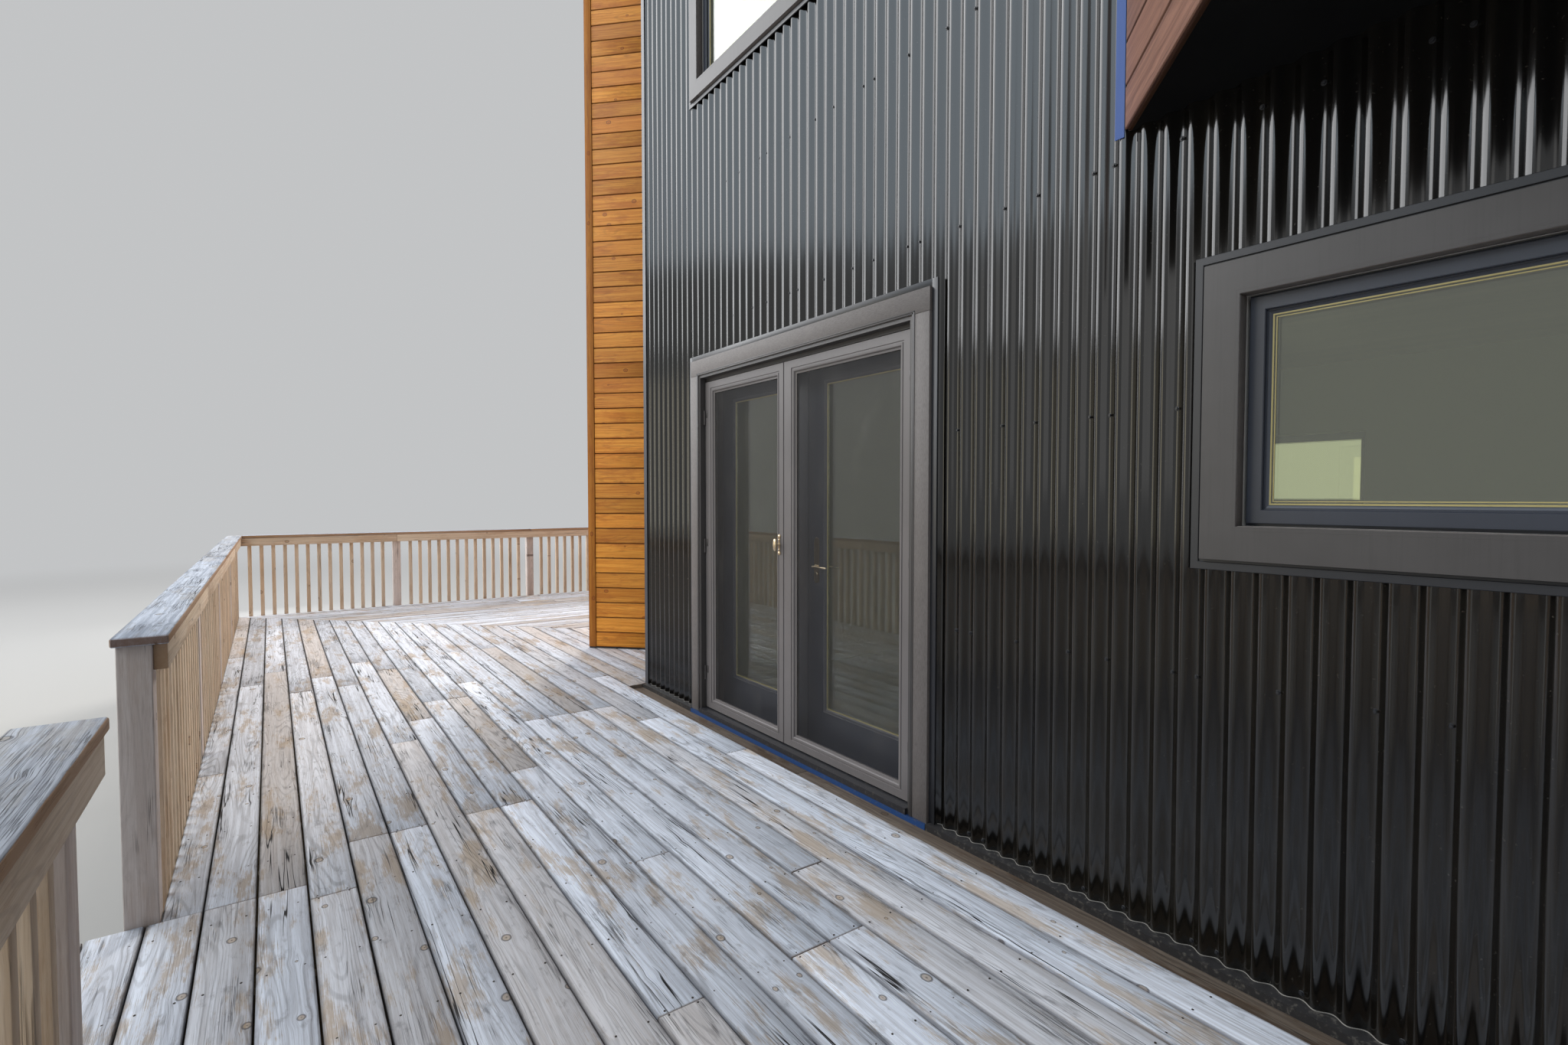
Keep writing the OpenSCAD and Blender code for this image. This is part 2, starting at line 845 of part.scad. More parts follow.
module glazed_door_left() {
    color(dark_metal) site() {
        leaf(glazed_x0, glazed_w, glazed_y, glazed_t, glazed_stile, glazed_stile,
            glazed_top, glazed_low);
        at_pins(false, true) leaf_hinge();
    }
}

module glazed_glass_left() {
    color(glass_colour) site() leaf_panel(glazed_x0, glazed_w, glazed_y, glazed_t, glass_t,
        glazed_stile, glazed_stile, glazed_top, glazed_low);
}

module glazed_door_right() {
    color(dark_metal) site() {
        leaf(glazed_x1, glazed_w, glazed_y, glazed_t, glazed_stile, glazed_stile,
            glazed_top, glazed_low);
        at_pins(true, true) leaf_hinge();
    }
}

module glazed_glass_right() {
    color(glass_colour) site() leaf_panel(glazed_x1, glazed_w, glazed_y, glazed_t, glass_t,
        glazed_stile, glazed_stile, glazed_top, glazed_low);
}

// Plate, spindle and lever, drawn outwards from the leaf's face
module lever_set() {
    plate_t = 5;
    arm_t = 12;
    arm_r = 9;
    block([-plate_w / 2, -plate_t, plate_up - plate_h / 2],
        [plate_w / 2, 0, plate_up + plate_h / 2]);
    rotate([90, 0, 0]) cylinder(r = arm_r, h = lever_out - arm_t / 2, $fn = 32);
    block([-arm_r, -lever_out, -arm_r], [lever_l - arm_r, arm_t - lever_out, arm_r]);
}

module door_lever() {
    x = glazed_x1 + glazed_stile / 2;
    color("#b5ad9e") site() translate([x, 0, deck_h + lever_h]) {
        translate([0, glazed_y, 0]) lever_set();
        translate([0, glazed_y + glazed_t, 0]) mirror([0, 1, 0]) lever_set();
    }
}

// Plan of the deck whose boards run along the cabin's front, edge away from it
module front_deck_plan(edge) {
    polygon([[deck_x0, -deck_w], [deck_x1, -deck_w], [deck_x1, -edge], [0, -edge],
        [0, tower_in + tower_out], [-tower_out, tower_in], [mitre_x, mitre_y]]);
}

// Plan of the deck beside the tower, whose boards run from front to back
module side_deck_plan() {
    polygon([[deck_x0, -deck_w], [mitre_x, mitre_y], tower_left, [back_x, deck_back],
        [deck_x0, deck_back]]);
}

module landing_plan() {
    translate([gate_x, -deck_w - landing_d]) square([gate_w, landing_d + past]);
}

module deck_boards_front() {
    color(grey_wood) site() {
        prism(deck_h - board_t, deck_h) union() {
            front_deck_plan(edge_w);
            landing_plan();
        }
        block([0, edge_gap - edge_w, deck_h - board_t], [deck_x1, 0, deck_h - edge_sink]);
    }
}

module deck_boards_side() {
    color(grey_wood) site() prism(deck_h - board_t, deck_h) side_deck_plan();
}

// Plan of the beam under the mitre, before it is cut to the deck
module mitre_plan() {
    m = leg(rim_t);
    translate([deck_x0, -deck_w]) polygon([[0, -m], [far, far - m], [far, far + m], [0, m]]);
}

// Plan of the rim beams, the ledger on the cabin and the beam under the mitre
module rim_plan() {
    intersection() {
        union() {
            front_deck_plan(0);
            side_deck_plan();
        }
        union() {
            translate([deck_x0, -deck_w]) square([deck_x1 - deck_x0, rim_t]);
            translate([deck_x1 - rim_t, -deck_w]) square([rim_t, deck_w]);
            translate([deck_x0, -deck_w]) square([rim_t, deck_w + deck_back]);
            translate([deck_x0, deck_back - rim_t]) square([far, rim_t]);
            translate([0, -joist_t]) square([cab_l, joist_t]);
            mitre_plan();
        }
    }
}

module deck_rim() {
    color(grey_wood) site() prism(rim_z, deck_h - board_t) rim_plan();
}

module deck_joists() {
    nx = floor((deck_x1 - deck_x0) / joist_step);
    ny = floor((deck_w + deck_back) / joist_step);
    color(grey_wood) site() prism(rim_z, deck_h - board_t) {
        difference() {
            union() {
                intersection() {
                    front_deck_plan(0);
                    for (i = [1:nx]) {
                        translate([deck_x1 - i * joist_step, -deck_w])
                            square([joist_t, far]);
                    }
                }
                intersection() {
                    side_deck_plan();
                    for (i = [1:ny]) {
                        translate([deck_x0, deck_back - i * joist_step])
                            square([far, joist_t]);
                    }
                }
            }
            rim_plan();
        }
    }
}

// Row of n + 1 ground posts between two points of the rim's middle line
module foot_row(a, b, n) {
    for (i = [0:n]) {
        p = a + (b - a) * i / n;
        translate([p[0] - foot_w / 2, p[1] - foot_w / 2, 0]) cube([foot_w, foot_w, rim_z]);
    }
}

module deck_posts() {
    m = foot_w / 2;
    left = [deck_x0 + m, m - deck_w];
    nx = ceil((deck_x1 - deck_x0) / post_step);
    ny = ceil((deck_w + deck_back) / post_step);
    color(grey_wood) site() {
        foot_row(left, [deck_x1 - m, m - deck_w], nx);
        foot_row([left[0], left[1] + (deck_w + deck_back) / ny], [left[0], deck_back - m], ny - 1);
        foot_row([(deck_x0 + back_x) / 2, deck_back - m], [back_x - 2 * foot_w, deck_back - m], 1);
        foot_row([deck_x0 / 2 + mitre_x / 2, (mitre_y - deck_w) / 2],
            [mitre_x - foot_w, mitre_y - foot_w], 1);
    }
}

// Two points of the side profile of a stringer, under tread i
function step_points(i) = [
    [landing_d + i * tread_d, deck_h - (i + 1) * rise - tread_t],
    [landing_d + (i + 1) * tread_d, deck_h - (i + 1) * rise - tread_t]];

module stringer() {
    run = landing_d + treads * tread_d;
    steps = [for (i = [0:treads - 1], p = step_points(i)) p];
    mirror([0, 1, 0]) rotate([90, 0, 90]) linear_extrude(height = stringer_t)
        polygon(concat([[0, rim_z], [0, deck_h - board_t], [landing_d, deck_h - board_t]], steps,
            [[run, 0], [run - tread_d, 0]]));
}

module stair_stringers() {
    color(grey_wood) site() {
        for (x = [gate_x + stringer_in, gate_x + gate_w / 2 - stringer_t / 2,
            gate_x + gate_w - stringer_in - stringer_t]) {
            translate([x, -deck_w, 0]) stringer();
        }
    }
}

module stair_treads() {
    color(grey_wood) site() for (i = [0:treads - 1]) {
        y1 = -deck_w - landing_d - i * tread_d;
        z = deck_h - (i + 1) * rise;
        block([gate_x, y1 - tread_d, z - tread_t], [gate_x + gate_w, y1, z]);
    }
}

// One run of railing: X along it from the left end seen from the deck's outside
// edge, Y towards the deck, Z up from the deck. A corner post that another run
// holds is left out, and the cap and its rail are lengthened at each end.
module railing(l, first, last, cap0, cap1, sub0, sub1) {
    x0 = first ? 0 : -rail_post;
    x1 = last ? l - rail_post : l;
    bays = max(1, ceil((x1 - x0) / post_step));
    bay = (x1 - x0) / bays;
    gap = bay - rail_post;
    count = round(gap / bal_step) - 1;
    top = rail_h - cap_t;
    low = -board_t - rim_h;
    block([-sub0, 0, top - sub_h], [l + sub1, sub_t, top]);
    block([-cap0, sub_t + cap_in - cap_w, top], [l + cap1, sub_t + cap_in, rail_h]);
    for (i = [first ? 0 : 1:last ? bays : bays - 1]) {
        block([x0 + i * bay, -rail_post, low], [x0 + i * bay + rail_post, 0, top]);
    }
    for (i = [0:bays - 1], j = [1:count]) {
        x = x0 + i * bay + rail_post + j * gap / (count + 1) - bal_w / 2;
        block([x, -bal_w, low + bal_up], [x + bal_w, 0, top]);
    }
}

module railing_front_left() {
    x = deck_x0 - rail_post;
    color(grey_wood) site() translate([x, -deck_w, deck_h])
        railing(gate_x - x, true, true, cap_side, cap_over, sub_side, -sub_back);
}

module railing_left() {
    color(grey_wood) site() translate([deck_x0, deck_back, deck_h]) rotate([0, 0, -90])
        railing(deck_w + deck_back, false, false, -sub_t - cap_in, -sub_t - cap_in,
            -sub_t, -sub_t);
}

module railing_back() {
    x = deck_back - sub_t - cap_in - tower_end - 2 * cap_over;
    color(grey_wood) site() translate([x, deck_back, deck_h]) rotate([0, 0, 180])
        railing(x - deck_x0 + rail_post, true, true, cap_over / 2, cap_side, 0, sub_side);
}

module railing_front_right() {
    x = gate_x + gate_w;
    color(grey_wood) site() translate([x, -deck_w, deck_h])
        railing(deck_x1 + rail_post - x, true, true, gate_cap, cap_side, gate_sub, sub_side);
}

module railing_right() {
    color(grey_wood) site() translate([deck_x1, -deck_w, deck_h]) rotate([0, 0, 90])
        railing(deck_w - wall_gap, false, true, -sub_t - cap_in, 0, -sub_t, 0);
}

foundation();
ground_floor();
upper_floor();
roof();
coping();
front_wall_left();
front_wall_over_door();
front_wall_right();
left_wall();
right_wall();
back_wall();
tower_wall_right();
tower_wall_front();
tower_wall_back();
bay_wall_left();
bay_wall_right();
bay_floor();
bay_roof();
front_cladding();
left_cladding();
right_cladding();
back_cladding();
tower_siding();
bay_siding();
corner_trims();
base_flashing();
opening_flashings();
window_casings();
window_sashes();
window_glass();
door_casing();
door_frame();
door_threshold();
door_hinges();
screen_door_left();
screen_mesh_left();
screen_latch();
screen_door_right();
screen_mesh_right();
glazed_door_left();
glazed_glass_left();
glazed_door_right();
glazed_glass_right();
door_lever();
deck_boards_front();
deck_boards_side();
deck_rim();
deck_joists();
deck_posts();
stair_stringers();
stair_treads();
railing_front_left();
railing_left();
railing_back();
railing_front_right();
railing_right();
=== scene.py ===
"""Looks of the two-storey ribbed steel cabin with its timber deck.

Lengths are in metres. Places are drawn from the cabin's front left corner, X along the front
and Y into the cabin, as in the part's source, and moved to the row's frame by Place.
"""
import math
from itertools import pairwise

import bmesh
import bpy
import numpy as np
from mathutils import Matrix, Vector


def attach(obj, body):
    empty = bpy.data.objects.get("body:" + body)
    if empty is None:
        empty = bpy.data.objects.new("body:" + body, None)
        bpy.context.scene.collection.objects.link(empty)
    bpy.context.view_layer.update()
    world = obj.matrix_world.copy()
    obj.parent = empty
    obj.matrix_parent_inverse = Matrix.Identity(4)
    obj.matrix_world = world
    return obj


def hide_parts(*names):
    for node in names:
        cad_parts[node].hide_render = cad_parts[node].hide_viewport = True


# Camera of the photograph, in the row's frame: place, heading, degrees down, and millimetres
CAM_AT = (1.353, -5.07, 1.987)
CAM_LOOK = (-0.8167, 0.577)
CAM_DOWN = 1.96
CAM_LENS, CAM_SENSOR = 16.7, 36

# Cabin
CAB_L, CAB_D = 7.3, 5.6
CLAD_T, WALL_T = 0.022, 0.18
DECK_H, WALL_H, COPING_H, COPING_OUT = 0.6, 6.3, 0.04, 0.02
TOP_Z = DECK_H + WALL_H
ROOF_Z = TOP_Z - 0.4
SOFFIT_Z = DECK_H + 2.566
CLAD_Z = DECK_H + 0.006
BAY_TOP_Z = TOP_Z - 0.815
INNER = CLAD_T + WALL_T

# Tower and bay
TOWER_OUT, TOWER_IN, TOWER_GAP = 1.496, 0.12, 0.378
TOWER_LEG = (CAB_D - TOWER_GAP - TOWER_IN - TOWER_OUT) / 2
TOWER_W = TOWER_LEG * math.sqrt(2)
TOWER_LEFT = (-TOWER_OUT - TOWER_LEG, TOWER_IN + TOWER_LEG)
TOWER_END = CAB_D - TOWER_GAP
SIDING_Z = DECK_H + 0.012
BAY_X, BAY_HALF = 3.69, 1.313
BAY_CX = BAY_X + BAY_HALF
BAY_SIDE = BAY_HALF * math.sqrt(2)

# Doorway
DOOR_X, DOOR_W, DOOR_HEAD = 0.765, 1.9, 2.165
CASING_W, CASING_OUT = 0.1, 0.02
JAMB_T, SILL_H, STOP_H, LEAF_GAP = 0.018, 0.028, 0.02, 0.005
OPEN_X0 = DOOR_X + CASING_W
CASING_X1 = OPEN_X0 + DOOR_W + CASING_W
CASING_Z1 = DECK_H + DOOR_HEAD + CASING_W
JAMB_X0, JAMB_X1 = OPEN_X0 + JAMB_T, OPEN_X0 + DOOR_W - JAMB_T
LEAF_Z0 = DECK_H + SILL_H + LEAF_GAP
LEAF_Z1 = DECK_H + DOOR_HEAD - JAMB_T - STOP_H - LEAF_GAP
LEAF_X0 = JAMB_X0 + LEAF_GAP
LEAVES_W = JAMB_X1 - JAMB_X0 - 3 * LEAF_GAP
SCREEN_Y, SCREEN_T = 0.02, 0.035
GLAZED_Y, GLAZED_T = 0.147, 0.045
STILE_W, MEET_W, TOP_RAIL, LOW_RAIL = 0.1, 0.075, 0.076, 0.07
GLAZED_STILE, GLAZED_TOP, GLAZED_LOW = 0.15, 0.13, 0.215
SCREEN_LEFT_W = 0.868
GLAZED_W = LEAVES_W / 2
SCREEN_X1 = LEAF_X0 + SCREEN_LEFT_W + LEAF_GAP
GLAZED_X1 = LEAF_X0 + GLAZED_W + LEAF_GAP
PIN_R, PIN_OFF, HINGE_H, HINGE_END, HINGE_PLAY = 0.006, 0.007, 0.045, 0.18, 0.0003
PLATE_IN, PLATE_ON, PLATE_W = 0.003, 0.001, 0.03
LATCH_Z, LEVER_Z, PLATE_UP = DECK_H + 1.127, DECK_H + 1.012, 0.036

# Windows
WIN_W, SLIM_W, LOW_H, UP_H = 2.1, 1.1, 0.856, 1.327
LOW_Z, UP_Z = DECK_H + 1.206, TOP_Z - 1.05 - UP_H
SASH_Y, SASH_W, GLASS_Y = 0.022, 0.06, 0.041
FLASH_W, FLASH_T = 0.032, 0.006

# Deck
DECK_W, DECK_LEFT, DECK_BACK = 2.59, 5.5, 4.06
DECK_X0, DECK_X1 = -DECK_LEFT, CAB_L
BOARD_T, BOARD_W, BOARD_PITCH = 0.038, 0.1406, 0.1466
EDGE_W, EDGE_SINK, EDGE_GAP = 0.137, 0.024, 0.005
JOIST_STEP, JOIST_T, RIM_H = 0.406, 0.038, 0.235
LANDING_D, TREAD_D, TREAD_T, TREADS = 0.292, 0.28, 0.038, 3
GATE_X0, GATE_X1 = 1.92, 1.92 + 1.15
BUTT, NAIL_R, NAIL_IN = 0.0012, 0.0032, 0.026

# Railing
RAIL_H, CAP_W, CAP_T, CAP_OVER, CAP_IN = 0.945, 0.145, 0.03, 0.025, 0.007
RAIL_POST, SUB_H, SUB_T, BAL_W, BAL_STEP, BAL_UP = 0.089, 0.089, 0.038, 0.038, 0.112, 0.035
POST_STEP, WALL_GAP = 2.24, 0.03
GATE_CAP, GATE_SUB, SUB_BACK = 0.055, 0.045, 0.02

# Steel and cedar: ribs, rows of screws, board joints; and gaps and rounded edges of planed boards
RIB_PITCH, RIB_DEPTH, RIB_X = 0.073, 0.02, 0.03
SCREW_ROWS = [DECK_H + 0.025 + 0.818 * i for i in range(8)]
CEDAR_PITCH, CEDAR_GAP, CEDAR_T, CORNER_W, PROUD = 0.1375, 0.0025, 0.015, 0.066, 0.003
HAIR, EASED = 0.0006, 0.0022

# Pale studio background, its level, and the level of what it lights
PALE, PALE_LEVEL, SKY_LEVEL = (0.97, 0.985, 1.0, 1), 0.56, 0.24

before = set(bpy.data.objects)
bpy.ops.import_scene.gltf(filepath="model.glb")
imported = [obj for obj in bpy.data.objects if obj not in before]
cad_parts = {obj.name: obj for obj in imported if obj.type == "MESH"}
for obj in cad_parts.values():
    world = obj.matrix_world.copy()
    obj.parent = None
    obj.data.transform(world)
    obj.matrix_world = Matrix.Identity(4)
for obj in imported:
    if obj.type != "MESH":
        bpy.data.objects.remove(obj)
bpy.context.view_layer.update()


class Place:
    """A wall's own axes: x along it seen from outside, y into it, z up."""

    def __init__(self, x=0.0, y=0.0, turn=0.0):
        c, s = math.cos(math.radians(turn)), math.sin(math.radians(turn))
        self.turn = np.array([[c, s, 0], [-s, c, 0], [0, 0, 1]])
        self.at = np.array([x - CAB_L / 2, y - CAB_D / 2, 0])

    def row(self, points):
        return np.asarray(points, float) @ self.turn + self.at


FRONT = Place()
RIGHT = Place(CAB_L, 0, 90)
BACK = Place(CAB_L, CAB_D, 180)
LEFT = Place(0, CAB_D, -90)
TOWER_RIGHT = Place(-TOWER_OUT, TOWER_IN, 45)
TOWER_FRONT = Place(*TOWER_LEFT, -45)
TOWER_BACK = Place(0, TOWER_END, -135)
BAY_LEFT = Place(BAY_X, 0, -45)
BAY_RIGHT = Place(BAY_CX, -BAY_HALF, 45)


def link(name, data):
    made = bpy.data.objects.new(name, data)
    bpy.context.scene.collection.objects.link(made)
    return made


class Solids:
    """Closed solids of one piece. A point keeps its grain, its place along, across and into its
    board, and its marks: two random tones, its end grain and the board's half width."""

    def __init__(self, seed):
        self.rng = np.random.default_rng(seed)
        self.points, self.grain, self.marks, self.faces, self.smooth = [], [], [], [], []
        self.total = 0

    def add(self, place, points, faces, grain=None, ends=0.0, half=1.0, smooth=False):
        points = np.asarray(points, float)
        marks = np.empty((len(points), 4))
        marks[:, :2], marks[:, 2], marks[:, 3] = self.rng.random(2), ends, half
        self.points.append(place.row(points))
        self.grain.append(points if grain is None else grain)
        self.marks.append(marks)
        self.faces.extend([[i + self.total for i in f] for f in faces])
        self.smooth.extend([smooth] * len(faces) if isinstance(smooth, bool) else smooth)
        self.total += len(points)

    def make(self, name, slot, material, replaces=(), body="cabin"):
        mesh = bpy.data.meshes.new(name)
        mesh.from_pydata(np.concatenate(self.points).tolist(), [], self.faces)
        mesh.polygons.foreach_set("use_smooth", self.smooth)
        for label, kind, key, rows in [("grain", "FLOAT_VECTOR", "vector", self.grain),
                                       ("marks", "FLOAT_COLOR", "color", self.marks)]:
            layer = mesh.attributes.new(label, kind, "POINT")
            layer.data.foreach_set(key, np.concatenate(rows).astype(np.float32).ravel())
        work = bmesh.new()
        work.from_mesh(mesh)
        bmesh.ops.recalc_face_normals(work, faces=work.faces)
        work.to_mesh(mesh)
        work.free()
        mesh.set_sharp_from_angle(angle=math.radians(35))
        mesh.materials.append(material)
        piece = link(name, mesh)
        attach(piece, body)
        if replaces:
            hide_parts(*replaces)


def tube_faces(rings, n):
    faces = [[r * n + i, r * n + (i + 1) % n, (r + 1) * n + (i + 1) % n, (r + 1) * n + i]
             for r in range(rings - 1) for i in range(n)]
    return faces + [list(range(n))[::-1], list(range((rings - 1) * n, rings * n))]


def board(solids, place, lo, hi, along=0, edge=0.003, cuts=(0.0, 0.0), arcs=2, spans=1, wave=0.0):
    """A board with rounded edges. Its ends may slant by cuts across it."""
    lo, hi = np.array(lo, float), np.array(hi, float)
    across, deep = [i for i in range(3) if i != along]
    mid, half = (lo + hi) / 2, (hi - lo) / 2
    edge = min(edge, 0.45 * half[across], 0.45 * half[deep])
    angles = np.radians([90 * (k + j / arcs) for k in range(4) for j in range(arcs + 1)])
    corners = np.repeat([(1, 1), (-1, 1), (-1, -1), (1, -1)], arcs + 1, axis=0)
    core = corners * (half[[across, deep]] - edge)
    full, small = [core + r * np.stack([np.cos(angles), np.sin(angles)], 1) for r in (edge, 0.3 * edge)]
    rings = np.stack([small, *[full] * (spans + 1), small])
    inner = np.linspace(lo[along] + edge, hi[along] - edge, spans + 1)
    s = np.array([lo[along], *inner, hi[along]])[:, None]
    t = (s - lo[along]) / max(hi[along] - lo[along], 1e-6)
    phase = solids.rng.random(4) * 6.28
    points, ends = np.empty((*rings.shape[:2], 3)), np.zeros(rings.shape[:2])
    points[..., across] = mid[across] + rings[..., 0] + 0.6 * wave * np.sin(2.1 * s + phase[0])
    points[..., deep] = mid[deep] + rings[..., 1] + wave * np.sin(1.3 * s + phase[1])
    points[..., along] = s + rings[..., 0] * (cuts[0] * (1 - t) + cuts[1] * t)
    ends[[0, -1]] = 1
    wide, thin = (across, deep) if half[across] >= half[deep] else (deep, across)
    grain = np.stack([points[..., along], points[..., wide] - mid[wide], points[..., thin] - mid[thin]], -1)
    solids.add(place, points.reshape(-1, 3), tube_faces(len(s), len(corners)), grain.reshape(-1, 3),
               ends.ravel(), half[wide])


def sweep(solids, place, box, widths, profile, inset=0.0):
    """A frame round an inset box (x0, z0, x1, z1). Its widths go left, bottom, right, top. A profile
    counts from the outer edge or, if negative, from the inner edge."""
    left, bottom, right, top = np.broadcast_to(widths, 4)
    x0, z0, x1, z1 = np.add(box, (inset, inset, -inset, -inset))
    x_sides, z_sides = ((x0, 1, left), (x1, -1, right)), ((z0, 1, bottom), (z1, -1, top))
    sides = [(*x_sides[i], *z_sides[k]) for i, k in ((0, 0), (1, 0), (1, 1), (0, 1))]
    points = [(x + sx * (d if d >= 0 else wx + d), y, z + sz * (d if d >= 0 else wz + d))
              for x, sx, wx, z, sz, wz in sides for d, y in profile]
    n = len(profile)
    faces = [[k * n + i, k * n + (i + 1) % n, (k + 1) % 4 * n + (i + 1) % n, (k + 1) % 4 * n + i]
             for k in range(4) for i in range(n)]
    solids.add(place, points, faces)


def lathe(solids, at, axis, profile, sides=24, turn=0.0, squeeze=1.0, flat=1.0, place=FRONT):
    """A turned solid. Its profile is a list of (distance along the axis, radius)."""
    u, v = [i for i in range(3) if i != axis]
    points = np.empty((len(profile), sides, 3))
    angles = 2 * math.pi * np.arange(sides) / sides + math.radians(turn)
    for ring, (s, r) in zip(points, profile):
        ring[:, axis] = at[axis] + s
        ring[:, u] = at[u] + r * np.cos(angles) * squeeze
        ring[:, v] = at[v] + r * np.sin(angles) * flat
    solids.add(place, points.reshape(-1, 3), tube_faces(len(profile), sides), smooth=True)


def mm(profile, start=0.0, side=1):
    """A profile in millimetres, its second values counted from a start in metres."""
    return [(side * a / 1000, start + b / 1000) for a, b in profile]


def plate(solids, outline, y0, y1, chamfer=0.001):
    outline = np.asarray(outline, float)
    mid = outline.mean(0)
    small = mid + (outline - mid) * (1 - chamfer / np.abs(outline - mid).max())
    rings = [(small, y0), (outline, y0 + chamfer), (outline, y1)]
    points = np.concatenate([np.insert(ring, 1, y, axis=1) for ring, y in rings])
    solids.add(FRONT, points, tube_faces(3, len(outline)))


def pill(x, z, w, h):
    angles, r = np.radians(np.linspace(0, 180, 11)), w / 2
    top = np.stack([x + r * np.cos(angles), z + h / 2 - r + r * np.sin(angles)], 1)
    return np.concatenate([top, np.subtract((2 * x, 2 * z), top)])


def rib_depth(x):
    return RIB_DEPTH / 2 * (1 - np.cos(2 * math.pi * (x - RIB_X) / RIB_PITCH))


def samples(a, b, count, edges, shortest=0.0008):
    """Places between two ends, with each edge, and no two closer than the shortest step."""
    fixed = {round(e, 5) for e in edges}
    values = sorted(set(np.round(np.linspace(a, b, count), 5)) | {e for e in fixed if a < e < b})
    kept = values[:1]
    for v in values[1:]:
        if v - kept[-1] >= shortest:
            kept.append(v)
        elif v in fixed:
            kept[-1] = v
    return np.array(kept)


def sheet(solids, place, gx, gz, near, far, there, smooth):
    """A closed sheet over a grid between two depths, with the cells that are there. Its front is
    smooth, and so may be its back and rims."""
    around = np.pad(there, 1)
    used = around[:-1, :-1] | around[1:, :-1] | around[:-1, 1:] | around[1:, 1:]
    number = np.cumsum(used).reshape(used.shape) - 1
    behind = int(used.sum())
    faces, soft = [], []
    for i, k in np.argwhere(there).tolist():
        a = [int(number[c]) for c in ((i, k), (i + 1, k), (i + 1, k + 1), (i, k + 1))]
        faces += [a, [a[j] + behind for j in (0, 3, 2, 1)]]
        soft += [True, smooth]
        for j, di, dk in ((3, -1, 0), (1, 1, 0), (0, 0, -1), (2, 0, 1)):
            if not around[i + 1 + di, k + 1 + dk]:
                p, q = a[(j + 1) % 4], a[j]
                faces.append([p, q, q + behind, p + behind])
                soft.append(smooth)
    sides = [np.stack([gx, y, gz], -1)[used] for y in (near, far)]
    solids.add(place, np.concatenate(sides), faces, smooth=soft)


def ribbed_sheet(solids, place, x1, z0, z1, holes, per_rib, step):
    """A sheet of ribbed steel from x = 0 to x1, with rectangular holes (x0, z0, x1, z1)."""
    xs = samples(0, x1, int(x1 / RIB_PITCH * per_rib) + 1, [e for h in holes for e in (h[0], h[2])])
    zs = samples(z0, z1, int((z1 - z0) / step) + 2, [e for h in holes for e in (h[1], h[3])])
    mx, mz = (xs[:-1] + xs[1:]) / 2, (zs[:-1] + zs[1:]) / 2
    there = np.ones((len(mx), len(mz)), bool)
    for h in holes:
        there &= ~(((mx > h[0]) & (mx < h[2]))[:, None] & ((mz > h[1]) & (mz < h[3])))
    gx, gz = np.meshgrid(xs, zs, indexing="ij")
    dent = 0.0006 * np.sin(2.3 * gz + 1.7 * gx) + 0.0004 * np.sin(5.1 * gz - 9.0 * gx)
    near = np.clip(rib_depth(gx) + dent, 0.0002, RIB_DEPTH + 0.001)
    sheet(solids, place, gx, gz, near, np.full_like(gx, CLAD_T), there, False)


def rib_edge(solids, x0, x1):
    """The dusty lower edge of a ribbed sheet: a thin lip that follows its ribs."""
    xs = np.linspace(x0, x1, int((x1 - x0) / RIB_PITCH * 12) + 2)
    lip = mm([(-1.1, -1.2), (-0.9, 2.2), (1, 2.2), (1, -1.2)], CLAD_Z)
    points = [(x, max(y + dy, lip[0][0]), z) for x, y in zip(xs, rib_depth(xs)) for dy, z in lip]
    solids.add(FRONT, points, tube_faces(len(xs), len(lip)))


def screws(solids, place, x1, holes):
    """Rows of screws with hexagonal heads and washers in the valleys of a ribbed sheet."""
    washer, head = mm([(1, 7.5), (-1, 7.5), (-1.6, 6.8)]), mm([(0, 4.2), (-5.5, 4.2), (-6.2, 3.5)])
    clear, margin = 0.05, 0.06
    for row, z in enumerate(SCREW_ROWS):
        rib, i = row % 2, 0
        while (x := RIB_X + (rib + 0.5) * RIB_PITCH) <= x1 - margin:
            if x > margin and not any(h[0] - clear < x < h[2] + clear and h[1] - clear < z < h[3] + clear
                                      for h in holes):
                lathe(solids, (x, RIB_DEPTH, z), 1, washer, 14, place=place)
                lathe(solids, (x, RIB_DEPTH, z), 1, head, 6, turn=17 * i, place=place)
            rib += (2, 3, 1, 3, 3)[(i + row) % 5]
            i += 1


class Wire:
    """An output of a material's node. Arithmetic with it adds nodes to its material."""

    def __init__(self, shader, socket):
        self.shader, self.socket = shader, socket

    def math(self, operation, *others):
        return self.shader.wire("Math", (self, *others), operation=operation)

    def fit(self, gain, shift):
        return self.math("MULTIPLY_ADD", gain, shift)

    def vector(self, operation, *others, out="Vector"):
        return self.shader.wire("VectorMath", (self, *others), out, operation=operation)

    def split(self):
        return [Wire(self.shader, out) for out in self.shader.node("SeparateXYZ", (self,)).outputs]

    def noise(self, scale, detail=2.0, rough=0.5):
        at = self.vector("MULTIPLY", scale if isinstance(scale, tuple) else (scale,) * 3)
        inputs = {"Vector": at, "Scale": 1.0, "Detail": detail, "Roughness": rough}
        return self.shader.wire("TexNoise", inputs, "Fac")

    def step(self, low, high, share=1.0):
        """0 at low and the share at high, and smooth between them."""
        inputs = (self, low, high, 0.0, share)
        return self.shader.wire("MapRange", inputs, interpolation_type="SMOOTHSTEP")

    def over(self, share, colour, blend="MIX"):
        return self.shader.mix(share, self, colour, blend)

    def gained(self, gain):
        return self.over(1.0, self.shader.join(gain, gain, gain), "MULTIPLY")

    def bump(self, distance, strength=1.0):
        inputs = {"Strength": strength, "Distance": distance, "Height": self}
        return self.shader.wire("Bump", inputs, "Normal")


